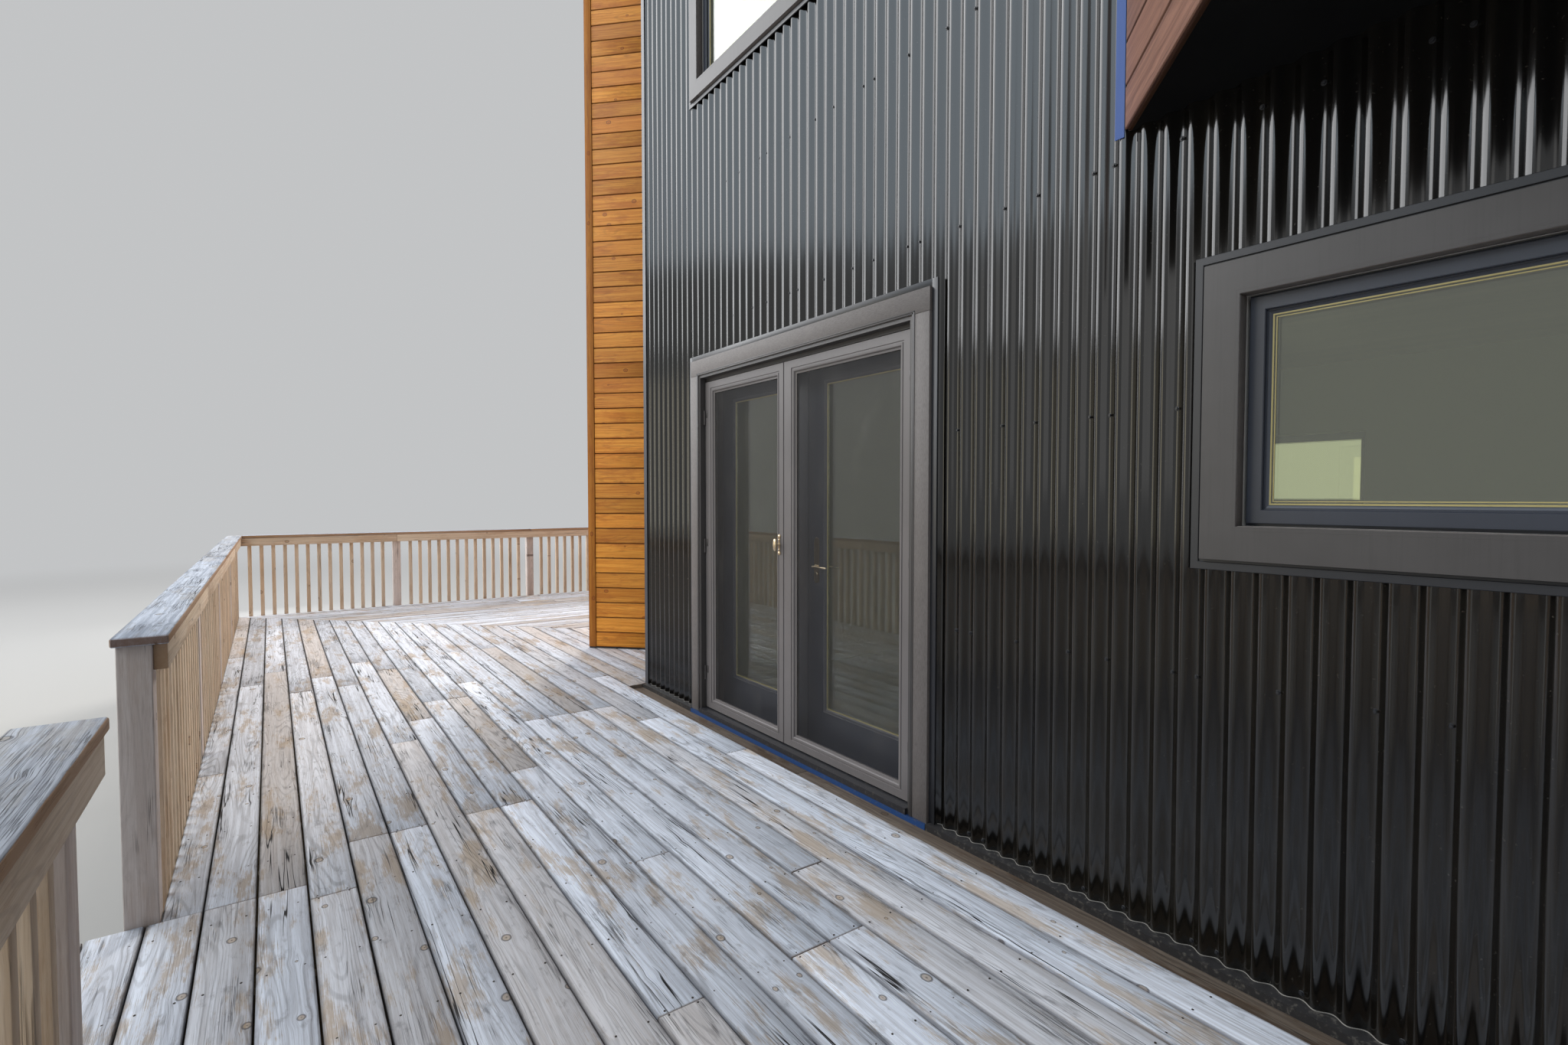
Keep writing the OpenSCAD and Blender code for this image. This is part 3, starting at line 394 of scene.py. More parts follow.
for label, key in (("add", "ADD"), ("sub", "SUBTRACT"), ("mul", "MULTIPLY"), ("truediv", "DIVIDE"),
                   ("abs", "ABSOLUTE")):
    setattr(Wire, f"__{label}__", lambda self, *others, key=key: self.math(key, *others))


class Shader:
    """The nodes of a material or the world, built from short calls."""

    def __init__(self, name, owners=bpy.data.materials, last="Principled BSDF"):
        self.owner = owners.new(name)
        self.owner.use_nodes = True
        self.tree = self.owner.node_tree
        self.last = self.tree.nodes[last]

    def node(self, kind, inputs=(), **settings):
        made = self.tree.nodes.new("ShaderNode" + kind)
        for key, value in settings.items():
            setattr(made, key, value)
        for key, value in inputs.items() if isinstance(inputs, dict) else enumerate(inputs):
            self.put(made.inputs[key], value)
        return made

    def wire(self, kind, inputs=(), out=0, **settings):
        return Wire(self, self.node(kind, inputs, **settings).outputs[out])

    def put(self, socket, value):
        if isinstance(value, Wire):
            self.tree.links.new(value.socket, socket)
        elif value is not None:
            socket.default_value = (*value, 1.0) if socket.type == "RGBA" and len(value) == 3 else value

    def attribute(self, name, out):
        return self.wire("Attribute", (), out, attribute_name=name)

    def join(self, x, y, z):
        return self.wire("CombineXYZ", (x, y, z))

    def mix(self, share, a, b, blend="MIX"):
        inputs = {"Factor": share, "A": a, "B": b}
        return self.wire("Mix", inputs, "Result", data_type="RGBA", blend_type=blend)

    def fill(self, inputs):
        for name, value in inputs.items():
            self.put(self.last.inputs[name], value)
        return self.owner

    def finish(self, colour, rough, normal=None, spec=0.5, **others):
        return self.fill({"Base Color": colour, "Roughness": rough, "Normal": normal,
                          "Specular IOR Level": spec, **others})


def surface(name):
    s = Shader(name)
    return s, s.wire("TexCoord", (), "Object")


def srgb(r, g, b):
    return tuple(((c / 255 + 0.055) / 1.055) ** 2.4 if c > 10 else c / 255 / 12.92 for c in (r, g, b))


def toned(colour, gain, lift=0.0):
    return tuple(c * gain + lift for c in colour)


def wood(name, *colours, end=None, side=None, stains=0.5, cracks=0.6, fibre=0.3, vary=0.3, brown=0.3,
         edges=0.35, rough=0.75, bump=1.0, rings=0.25, spots=0.3, dense=0.0):
    """Boards of wood with fibres, knots, stains and cracks. Colours: pale, middle, stained, dark."""
    pale, mid, stain, dark = [srgb(*colour) for colour in colours]
    s = Shader(name)
    place, marks = s.attribute("grain", "Vector"), s.attribute("marks", "Color")
    tone, age, cut = marks.split()
    at = place.vector("ADD", s.join(tone * 37.7, age * 23.3, tone * 11.9))
    x, y, z = at.split()
    # Knots: at most one in a cell of the board
    cell_x, cell_y = 1.7, 7.5
    cells = s.node("TexVoronoi", {"Scale": 1.0, "Vector": s.join(x * cell_x, y * cell_y, 0.0)},
                   voronoi_dimensions="2D", feature="F1")
    where, luck = [Wire(s, cells.outputs[out]).split() for out in ("Position", "Color")]
    dx, dy = where[0] / cell_x - x, where[1] / cell_y - y
    size = luck[0].fit(0.009, 0.005) * luck[1].step(0.4, 0.45)
    away = s.join(dx * 0.75, dy, 0.0).vector("LENGTH", out="Value") + at.noise(90) * 0.003
    near = away / (size + 0.0001)
    knot = near.step(1.25, 0.9)
    # The grain bends round knots and wanders
    pull = (away * away * -1700.0).math("EXPONENT")
    drift = at.noise((0.9, 2, 2), 1).fit(0.03, -0.015)
    bent = s.join(x, y + drift + dy * pull * 0.6, z)
    fibres = bent.noise((9, 480, 300), 3, 0.7)
    lines = (bent.noise((0.7, 8.0, 6), 1, 0.4) * 130.0).math("SINE").step(0.35, 1.0)
    lines = lines * at.noise((2, 9, 9), 1).step(0.35, 0.65)
    patch = (fibres - 0.5).fit(0.35, at.noise((2.3, 8, 8), 6, 0.68))
    grime_and_seam_shade = at.noise((9, 22, 22), 5, 0.7)
    base = s.mix(bent.noise((1.3, 60, 40), 4, 0.7).step(0.38, 0.62), pale, mid)
    base = base.over(patch.step(0.52, 0.62, stains), stain)
    base = base.over(age.step(0.55, 0.95, brown), stain)
    base = base.gained(tone.fit(vary, 1.0 - vary * 0.55))
    base = base.over(grime_and_seam_shade.step(0.56, 0.72, spots), dark)
    base = base.over(lines * rings, dark)
    base = base.over(fibres.step(0.5, 0.72, fibre), dark)
    # Cracks follow contour lines of long drawn noise
    black = toned(dark, 0.22)
    big = abs(bent.noise((0.75, 36, 22)) - 0.5).step(0.017, 0.006)
    big = big * at.noise((1.2, 8, 8), 1).step(0.58 - dense, 0.64 - dense)
    fine = abs(bent.noise((2.6, 150, 90)) - 0.5).step(0.03, 0.008)
    fine = fine * at.noise((3, 14, 14)).step(0.56 - dense, 0.68 - dense)
    crack = big.math("MAXIMUM", fine * 0.6) * cracks
    base = base.over(knot * 0.6, stain)
    base = base.over(abs(near - 1.15).step(0.3, 0.08, 0.7), dark)
    base = base.over(near.step(0.5, 0.15, 0.6), black)
    base = base.over(crack, black)
    # Darker long edges, dirt on the decking and painted shade at the cedar's seams; sawn sides and end grain
    share = abs(place.split()[1]) / s.attribute("marks", "Alpha")
    base = base.over(grime_and_seam_shade.fit(0.14, share).step(0.92, 1.08, edges), dark)
    if side:
        base = base.over(grime_and_seam_shade.fit(0.05, share).step(0.985, 1.0, 0.8), srgb(*side))
    base = base.over(cut * 0.8, srgb(*end) if end else dark)
    height = fibres.fit(-0.35, lines * (-0.3 * rings)) - crack * 1.4 + knot * 0.3
    return s.finish(base, fibres.fit(0.15, rough - 0.07), height.bump(0.0016 * bump), 0.3)


def coated(name, colour, rough, *, spec=0.5, metal=0.0, streak=(40, 40, 2), mottle=0.15, dust=None):
    """A painted or coated surface, faintly mottled, that may have dust on it."""
    s, at = surface(name)
    colour = srgb(*colour)
    cloud = at.noise(3, 4, 0.6)
    base = s.mix(cloud.step(0.35, 0.7, mottle * 2), colour, toned(colour, 1.35, 0.004))
    base = base.over(at.noise(streak, 3, 0.6).step(0.45, 0.75, mottle), toned(colour, 0.6))
    if dust:
        base = base.over(at.noise(60, 4, 0.7).step(0.52, 0.7, 0.6), srgb(*dust))
    return s.finish(base, cloud.fit(0.12, rough - 0.06), spec=spec, Metallic=metal)


def brushed_paint(name, colour):
    s = Shader(name)
    colour = srgb(*colour)
    tone = s.attribute("marks", "Color").split()[0]
    at = s.attribute("grain", "Vector").vector("ADD", s.join(tone * 31.0, 0.0, 0.0))
    lines = at.noise((45, 520, 520), 4, 0.7)
    base = s.mix(lines.step(0.35, 0.7), toned(colour, 1.15), toned(colour, 0.72))
    base = base.over(at.noise((9, 22, 22), 4, 0.65).step(0.45, 0.75, 0.35), toned(colour, 1.3, 0.004))
    return s.finish(base.gained(tone.fit(0.2, 0.9)), lines.fit(0.25, 0.4), lines.bump(0.0009), 0.4)


def framing_material():
    s, at = surface("sawn_framing")
    streaks = at.noise((5, 5, 160), 3, 0.6)
    base = s.mix(at.noise(3, 4, 0.65).step(0.35, 0.7), srgb(170, 152, 126), srgb(136, 118, 94))
    base = base.over(streaks.step(0.45, 0.75, 0.5), srgb(84, 70, 54))
    return s.finish(base, 0.8, streaks.bump(0.0012), 0.3)


def concrete_material():
    s, at = surface("cast_concrete")
    pits = at.noise(90, 3, 0.6)
    base = s.mix(at.noise(1.5, 5, 0.65).step(0.3, 0.7), (0.4, 0.39, 0.37), (0.28, 0.275, 0.26))
    base = base.over(at.noise((0.6, 0.6, 9)).step(0.5, 0.62, 0.35), (0.22, 0.21, 0.2))
    base = base.over(pits.step(0.62, 0.7, 0.5), (0.12, 0.12, 0.115))
    return s.finish(base, 0.88, pits.bump(0.002), 0.3)


def plaster_material():
    s, at = surface("painted_board")
    peel = at.noise(160)
    board_colour = s.mix(at.noise(0.8, 3), (0.54, 0.52, 0.49), (0.48, 0.465, 0.44))
    lining = s.mix(peel, (0.045, 0.046, 0.05), (0.085, 0.086, 0.09))
    base = board_colour.over(at.split()[2].step(ROOF_Z - 0.02, ROOF_Z - 0.01), lining)
    return s.finish(base, 0.8, peel.bump(0.0006), 0.25)


def floor_material():
    s, at = surface("plank_floor")
    x, y, z = at.split()
    plank = y / 0.14
    luck = s.wire("TexWhiteNoise", {"W": plank.math("FLOOR")}, "Value", noise_dimensions="1D")
    grain = s.join(x + luck * 17.0, y, z).noise((2.5, 130, 60), 3, 0.6)
    base = s.mix(grain, (0.27, 0.16, 0.09), (0.13, 0.075, 0.04))
    base = base.over(luck * 0.4, (0.1, 0.06, 0.035))
    base = base.over(abs(plank.math("FRACT") - 0.5).step(0.485, 0.495), (0.02, 0.014, 0.01))
    return s.finish(base, 0.45, grain.bump(0.0005))


def membrane_material():
    s, at = surface("roof_membrane")
    grit = at.noise(220, 2, 0.6)
    base = s.mix(at.noise(0.9, 4, 0.6).step(0.35, 0.65), (0.045, 0.046, 0.05), (0.075, 0.076, 0.08))
    return s.finish(base.over(grit.step(0.55, 0.7, 0.4), (0.13, 0.13, 0.13)), 0.85, grit.bump(0.001))


def steel_material():
    """Coated steel, nearly black and a little brown, with faint streaks down the ribs."""
    s, at = surface("ribbed_steel")
    drip = at.noise((26, 26, 0.7), 4, 0.6)
    base = s.mix(drip.step(0.4, 0.7), srgb(13, 12, 11), srgb(22, 19, 15))
    base = base.over(at.noise((1.2, 1.2, 0.6), 3, 0.6).step(0.45, 0.75, 0.5), srgb(28, 25, 19))
    base = base.over(at.noise(130, 2, 0.6).step(0.69, 0.75, 0.35), srgb(105, 100, 92))
    return s.finish(base, drip.fit(0.1, 0.07), at.noise((9, 9, 1.2)).bump(0.0015, 0.35), 0.7)


def trims_material():
    """Dark corner trims, and the strip beside the bay, near the middle of the front, painted blue as a
    reflection of the sky.
    """
    s, at = surface("corner_trim_coat_painted_reflection")
    lines = at.noise((30, 30, 1.2), 3, 0.6)
    # The blue near the middle of the front is a painted reflection of the sky
    base = s.mix(abs(at.split()[0]).step(1.0, 0.9), srgb(62, 64, 70), srgb(10, 68, 140))
    base = base.over(lines.step(0.45, 0.75, 0.25), srgb(30, 32, 38))
    return s.finish(base, at.noise(3, 4, 0.6).fit(0.12, 0.3), lines.bump(0.0004), 0.35)


def threshold_material():
    s, at = surface("threshold_coat_painted_reflection")
    dust = at.noise(60, 4, 0.7)
    # Below the deck's level the nose is blue: a painted reflection of the sky
    base = s.mix(at.split()[2].step(DECK_H + 0.002, DECK_H - 0.001), srgb(46, 46, 50), srgb(34, 70, 122))
    base = base.over(dust.step(0.54, 0.7, 0.35), srgb(120, 114, 104))
    return s.finish(base, dust.fit(0.2, 0.3), dust.bump(0.0005))


def glass_material():
    s, at = surface("tinted_glass")
    smear = at.noise((2, 2, 5), 3, 0.6).step(0.6, 0.8, 0.03)
    return s.finish((0.86, 0.9, 0.66), smear, IOR=1.85, **{"Transmission Weight": 0.96})


def mesh_material():
    """Fine insect mesh: two sets of threads, partly see-through."""
    s, at = surface("insect_mesh")
    pitch = 2 * math.pi / 0.0016
    x, _, z = s.attribute("grain", "Vector").split()
    warp, weft = [(along * pitch).math("SINE").fit(0.5, 0.5) for along in (x, z)]
    thread = warp.math("MAXIMUM", weft)
    dust = at.noise((9, 9, 4), 4, 0.65)
    base = s.mix(dust.step(0.45, 0.8), srgb(58, 56, 56), srgb(84, 81, 78))
    alpha = dust.step(0.5, 0.9).fit(0.05, thread.step(0.6, 0.95).fit(0.06, 0.17))
    return s.finish(base, 0.6, thread.bump(0.0002, 0.4), Alpha=alpha)


STEEL = steel_material()
TRIM = coated("folded_trim", (38, 39, 43), 0.36, streak=(30, 30, 1.2))
LEDGE = coated("dusty_ledge", (38, 37, 38), 0.5, dust=(104, 100, 94))
DUST_LINE = coated("dusty_sheet_edge", (150, 146, 140), 0.7, dust=(70, 66, 60))
CASING = brushed_paint("brushed_casing", (107, 101, 98))
FRAME_PAINT = coated("frame_paint", (70, 67, 66), 0.42, spec=0.45, streak=(120, 120, 3), mottle=0.2)
SCREEN_PAINT = coated("screen_paint", (108, 103, 102), 0.4, spec=0.45, streak=(120, 120, 3), mottle=0.12)
SASH = coated("clad_sash", (52, 56, 66), 0.34, streak=(60, 60, 3), mottle=0.12)
SOFFIT = coated("soffit_panel", (12, 12, 13), 0.6, spec=0.2, mottle=0.25)
GASKET = coated("spacer_line", (172, 158, 104), 0.45, mottle=0.2)
NICKEL = coated("satin_nickel", (214, 196, 166), 0.25, metal=1.0, streak=(200, 200, 8), mottle=0.08)
HINGE = coated("hinge_steel", (84, 81, 80), 0.35, metal=0.4)
NAIL = coated("rusty_nail", (56, 48, 42), 0.6, metal=0.3, mottle=0.3)
CEDAR = wood("oiled_cedar", (226, 153, 58), (201, 123, 36), (174, 93, 26), (96, 50, 16), stains=0.45,
             cracks=0.25, vary=0.34, brown=0.35, edges=0.55, rough=0.5, bump=0.7, rings=0.22, spots=0.12)
# The tongues' dark colours are painted shade in the gaps between the cedar boards
CEDAR_PAINTED_SHADE = wood("cedar_tongues_painted_shade", (96, 58, 28), (80, 46, 22), (70, 40, 20), (40, 24, 12))
BAY_CEDAR = wood("weathered_cedar", (146, 105, 86), (121, 83, 66), (105, 68, 50), (64, 42, 34), stains=0.4,
                 cracks=0.3, fibre=0.35, edges=0.55, rough=0.55, bump=0.7, spots=0.15)
# The blue tint in the decking's pale colours is painted skylight
DECKING = wood("weathered_decking_painted_skylight", (230, 236, 248), (203, 207, 217), (176, 151, 118), (72, 68, 70),
               end=(120, 100, 80), stains=0.62, cracks=1.0, fibre=0.36, vary=0.34, brown=0.45, edges=0.6,
               rough=0.8, spots=0.4, rings=0.32)
# The sunk strip's dark colours are partly dirt and leaves, partly painted shade of its recess
SUNK_STRIP = wood("dirty_strip_and_painted_shade", (120, 108, 96), (96, 84, 74), (84, 66, 50), (44, 36, 30), stains=0.8,
                  edges=0.8, rough=0.85)
RAILING = wood("railing_timber", (234, 216, 194), (219, 198, 172), (192, 156, 120), (118, 98, 84),
               end=(150, 116, 84), stains=0.35, cracks=0.4, fibre=0.18, vary=0.22, brown=0.2, edges=0.2,
               rings=0.15, spots=0.12)
# The blue tint of the cap's colours is painted skylight on its top
RAIL_CAP = wood("railing_cap_timber", (190, 199, 214), (152, 161, 177), (148, 138, 122), (58, 62, 72),
                end=(118, 86, 60), side=(186, 146, 104), stains=0.4, cracks=0.85, fibre=0.36, vary=0.12,
                brown=0.2, edges=0.25, rough=0.78, bump=1.5, rings=0.2, spots=0.35, dense=0.06)
POST_WOOD = wood("railing_post_timber", (232, 222, 217), (216, 204, 198), (192, 164, 142), (96, 82, 76),
                 end=(140, 110, 84), stains=0.22, cracks=0.9, fibre=0.14, vary=0.12, brown=0.15, edges=0.25,
                 rings=0.16, spots=0.15)
GLASS, MESH, MEMBRANE = glass_material(), mesh_material(), membrane_material()

NODE_LOOKS = [
    (concrete_material(), "foundation"),
    (floor_material(), "ground_floor upper_floor"),
    (MEMBRANE, "roof"),
    (plaster_material(), "front_wall_left front_wall_over_door front_wall_right left_wall right_wall "
     "back_wall tower_wall_right tower_wall_front tower_wall_back bay_wall_left bay_wall_right"),
    (TRIM, "coping bay_roof"),
    (trims_material(), "corner_trims"),
    (LEDGE, "base_flashing"),
    (SOFFIT, "bay_floor"),
    (FRAME_PAINT, "door_frame"),
    (threshold_material(), "door_threshold"),
    (HINGE, "door_hinges"),
    (GLASS, "window_glass glazed_glass_left glazed_glass_right"),
    (framing_material(), "deck_rim deck_joists deck_posts stair_stringers"),
]
BEVELS = {0.0012: "corner_trims", 0.0015: "base_flashing door_frame", 0.002: "coping bay_roof deck_joists",
          0.003: "door_threshold deck_rim stair_stringers", 0.005: "deck_posts", 0.008: "foundation"}


def dress_nodes():
    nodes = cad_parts
    for material, names in NODE_LOOKS:
        for name in names.split():
            nodes[name].data.materials.clear()
            nodes[name].data.materials.append(material)
    for width, names in BEVELS.items():
        for name in names.split():
            bevel = nodes[name].modifiers.new("edges", "BEVEL")
            bevel.width, bevel.segments = width, 2
            bevel.limit_method, bevel.angle_limit = "ANGLE", math.radians(50)


# Openings as boxes (x0, z0, x1, z1) on their walls
LOW, HIGH = (LOW_Z, LOW_H), (UP_Z, UP_H)


def windows(xs, w, *heights):
    return [(x, z, x + w, z + h) for x in xs for z, h in heights]


DOOR = (DOOR_X, DECK_H, CASING_X1, CASING_Z1)
BACK_X = (CAB_L / 2 - WIN_W) / 2
WINDOWS = {
    FRONT: windows([DOOR_X], WIN_W, HIGH) + windows([BAY_CX - WIN_W / 2], WIN_W, LOW),
    RIGHT: windows([(CAB_D - WIN_W) / 2], WIN_W, LOW, HIGH),
    BACK: windows([BACK_X, BACK_X + CAB_L / 2], WIN_W, LOW, HIGH),
    TOWER_FRONT: windows([(TOWER_W - SLIM_W) / 2], SLIM_W, LOW, HIGH),
    BAY_LEFT: windows([(BAY_SIDE - SLIM_W) / 2], SLIM_W, HIGH),
    BAY_RIGHT: windows([(BAY_SIDE - SLIM_W) / 2], SLIM_W, HIGH),
}


def make_cladding():
    bay = (BAY_X, SOFFIT_Z, BAY_X + 2 * BAY_HALF, BAY_TOP_Z)
    tower = (CAB_D - TOWER_END, 0, CAB_D - TOWER_IN - TOWER_OUT, TOP_Z + 1)
    heads = Solids(7)
    for name, place, length, holes, per_rib, step in [
            ("front", FRONT, CAB_L, WINDOWS[FRONT] + [DOOR, bay], 14, 0.35),
            ("right", RIGHT, CAB_D, WINDOWS[RIGHT], 10, 0.7), ("back", BACK, CAB_L, WINDOWS[BACK], 10, 0.7),
            ("left", LEFT, CAB_D, [tower], 10, 0.7)]:
        ribs = Solids(3)
        ribbed_sheet(ribs, place, length, CLAD_Z, TOP_Z, holes, per_rib, step)
        ribs.make(f"ribbed_steel_{name}", "cladding", STEEL, [f"{name}_cladding"])
        screws(heads, place, length, holes)
    heads.make("cladding_screws", "metal_trim", TRIM)
    edge = Solids(8)
    for x0, x1 in ((0.05, DOOR_X - FLASH_W - 0.001), (CASING_X1 + FLASH_W + 0.001, CAB_L - 0.05)):
        rib_edge(edge, x0, x1)
    edge.make("cladding_lower_edge", "cladding", DUST_LINE)


def case_opening(boards, place, box, sill):
    """Casing boards over an opening, down its sides and, with a sill, under it."""
    x0, z0, x1, z1 = box
    in0, in1, low = x0 + CASING_W, x1 - CASING_W, z1 - CASING_W
    side = (z0, low - HAIR, 2)
    spans = [(x0, x1, low, z1, 0), (x0, in0, *side), (in1, x1, *side)]
    if sill:
        spans.append((in0 + HAIR, in1 - HAIR, z0, z0 + CASING_W, 0))
    for a, b, z, top, along in spans:
        board(boards, place, (a, -CASING_OUT, z), (b, CLAD_T, top), along, EASED)


def make_casings():
    flashings, casings, sashes, lines, beads = [Solids(seed) for seed in (11, 12, 13, 14, 16)]
    flash = mm([(0, 0), (0, -4), (1.5, -6), (22, -6), (23.5, -4.5), (23.5, -1), (32, -1), (32, 0)])
    sash = mm([(0, 20), (7, 20), (7, 3), (9, 1), (45, 1), (47, 3), (47, 13), (50.5, 13), (51.5, 15),
               (59.5, 18.8), (60, 18.8), (60, 62), (0, 62)], SASH_Y)
    bead = mm([(-15, 1), (-15, -1.5), (-13.8, -2.6), (-9.5, -2.6), (-8.5, -0.8), (-7, -0.8), (-6, -2.6),
               (-1.4, -2.6), (0.6, -1.2), (0.6, 40), (-2, 40), (-2, 1)], -CASING_OUT)
    c, o = CASING_W, FLASH_W
    for place, boxes in WINDOWS.items():
        for box in boxes:
            sweep(flashings, place, box, o, flash, -o)
            case_opening(casings, place, box, True)
            sweep(sashes, place, box, SASH_W, sash, c)
            sweep(beads, place, box, c, bead)
            for inset, wide in ((c + SASH_W, 4.5), (c + SASH_W + 0.0085, 3)):
                line = mm([(0, -0.2), (0, -1.2), (0.8 * wide, -1.2), (wide, -0.2)], GLASS_Y)
                sweep(lines, place, box, wide / 1000, line, inset)
    x0, _, x1, top = DOOR
    for a, b, low, along in [(x0 - o, x0, CLAD_Z, 2), (x1, x1 + o, CLAD_Z, 2), (x0, x1, top, 0)]:
        board(flashings, FRONT, (a, -FLASH_T, low), (b, 0, top + o), along, 0.0012)
    flashings.make("opening_flashing_frames", "metal_trim", TRIM, ["opening_flashings"])
    casings.make("window_casing_boards", "casing", CASING, ["window_casings"])
    sashes.make("window_sash_frames", "sash", SASH, ["window_sashes"])
    lines.make("window_spacer_lines", "sash", GASKET)
    beads.make("window_casing_beads", "casing", FRAME_PAINT)
    door = Solids(15)
    case_opening(door, FRONT, DOOR, False)
    door.make("door_casing_boards", "casing", CASING, ["door_casing"])
    strips, wide = Solids(17), 0.0065
    y0, y1 = -CASING_OUT - 0.0026, -CASING_OUT + 0.001
    for d in (c - 0.015, c - 0.007):
        for a in (x0 + d, x1 - d - wide):
            board(strips, FRONT, (a, y0, DECK_H + 0.001), (a + wide, y1, top - d - 0.0005), 2, 0.0012)
        board(strips, FRONT, (x0 + d, y0, top - d - wide), (x1 - d, y1, top - d), 0, 0.0012)
    strips.make("door_casing_beads", "casing", FRAME_PAINT)


def leaf_hinges(body, name, inside):
    """The halves of three hinges that turn with a leaf: barrel and plate."""
    solids = Solids(32 if inside else 22)
    sx, sy = (-1 if "right" in body else 1), (-1 if inside else 1)
    x = JAMB_X0 + PIN_OFF if sx > 0 else JAMB_X1 - PIN_OFF
    y = GLAZED_Y + GLAZED_T + PIN_OFF if inside else SCREEN_Y - PIN_OFF
    middle = (LEAF_Z1 - LEAF_Z0) / 2
    barrel = mm([(0, 5.4), (0.6, 6), (44.4, 6), (45, 5.4)])
    for z in (LEAF_Z0 + HINGE_END, LEAF_Z0 + middle - HINGE_H, LEAF_Z1 - HINGE_END - 2 * HINGE_H):
        z += HINGE_H + HINGE_PLAY
        lathe(solids, (x, y, z), 2, barrel)
        xs = sorted((x - sx * PIN_R / 2, x + sx * (PLATE_W - PIN_R / 2)))
        ys = sorted((y + sy * (PIN_OFF - PLATE_IN), y + sy * (PIN_OFF + PLATE_ON)))
        board(solids, FRONT, (xs[0], ys[0], z), (xs[1], ys[1], z + HINGE_H), 2, 0.0006)
    solids.make(name, "hardware", HINGE, body=body)


def screen_mesh(solids, x0, x1, z0, z1, fold):
    """A thin sheet of mesh that sags a little out of its frame, with a fold at its top left."""
    nx, nz, half = 28, 60, 0.0005
    gx, gz = np.meshgrid(np.linspace(x0, x1, nx), np.linspace(z0, z1, nz), indexing="ij")
    u, v = (gx - x0) / (x1 - x0), (gz - z0) / (z1 - z0)
    rim = np.sin(np.pi * u) * np.sin(np.pi * v)
    y = SCREEN_Y + SCREEN_T / 2 + 0.004 * rim + 0.0012 * rim * np.sin(7 * u + 5 * v)
    crease = np.exp(-((u - 0.3 - 0.25 * (1 - v)) / 0.05) ** 2)
    y = y + fold * crease * np.clip((v - 0.55) / 0.4, 0, 1) * rim ** 0.3
    sheet(solids, FRONT, gx, gz, y - half, y + half, np.ones((nx - 1, nz - 1), bool), True)


def make_screens():
    profile = mm([(0, 3), (2, 0), (-34, 0), (-32.5, 3.5), (-26, 3.5), (-24.5, 0.5), (-16, 1), (-12, 4),
                  (-10, 10), (-3, 12.5), (-0.1, 13.5), (-0.1, 25), (-6, 34), (-9, 35), (2, 35), (0, 32)],
                 SCREEN_Y)
    lap = 0.002
    for name, x, w, meet, fold in [("left", LEAF_X0, SCREEN_LEFT_W, MEET_W, 0.004),
                                   ("right", SCREEN_X1, LEAVES_W - SCREEN_LEFT_W, STILE_W, 0.0)]:
        body, solids, mesh = f"screen_{name}", Solids(21), Solids(23)
        sweep(solids, FRONT, (x, LEAF_Z0, x + w, LEAF_Z1), (STILE_W, LOW_RAIL, meet, TOP_RAIL), profile)
        solids.make(f"screen_frame_{name}", "screen_frame", SCREEN_PAINT, [f"screen_door_{name}"], body)
        leaf_hinges(body, f"screen_hinges_{name}", False)
        screen_mesh(mesh, x + STILE_W - lap, x + w - meet + lap, LEAF_Z0 + LOW_RAIL - lap,
                    LEAF_Z1 - TOP_RAIL + lap, fold)
        mesh.make(f"insect_mesh_{name}", "mesh", MESH, [f"screen_mesh_{name}"], body)
    latch = Solids(24)
    x, y, z = LEAF_X0 + SCREEN_LEFT_W - MEET_W / 2, SCREEN_Y, LATCH_Z
    lobes = mm([(-46, 12.5), (-27, 7.5), (0, 11), (27, 7.5), (46, 12.5)])
    heights = np.linspace(-0.058, 0.058, 59)
    widths = [max([0.0048] + [math.sqrt(max(r * r - (h - m) ** 2, 0)) for m, r in lobes]) for h in heights]
    widths[0] = widths[-1] = 0.003
    outline = [(x + w, z + h) for w, h in zip(widths, heights)]
    outline += [(x - w, z + h) for w, h in zip(widths[::-1], heights[::-1])]
    plate(latch, outline, y - 0.0038, y)
    for dz, r in mm([(46, 8.5), (-46, 8.5), (27, 5), (-27, 5)]):
        dome = [(0.001, r), (-0.0016, r), (-0.0034, 0.72 * r), (-0.0042, 0.3 * r)]
        lathe(latch, (x, y - 0.003, z + dz), 1, dome, 20)
    lathe(latch, (x, y - 0.003, z), 1, mm([(1, 9.5), (-4, 9), (-8, 6), (-18, 5), (-26, 6)]))
    angles = np.radians(range(-90, 91, 12))
    knob = [(0.035 * math.sin(t), 0.0145 * math.cos(t) + 0.0004) for t in angles]
    lathe(latch, (x - 0.002, y - 0.03, z), 2, knob, flat=0.62)
    latch.make("screen_latch_handle", "hardware", NICKEL, ["screen_latch"], "screen_left")


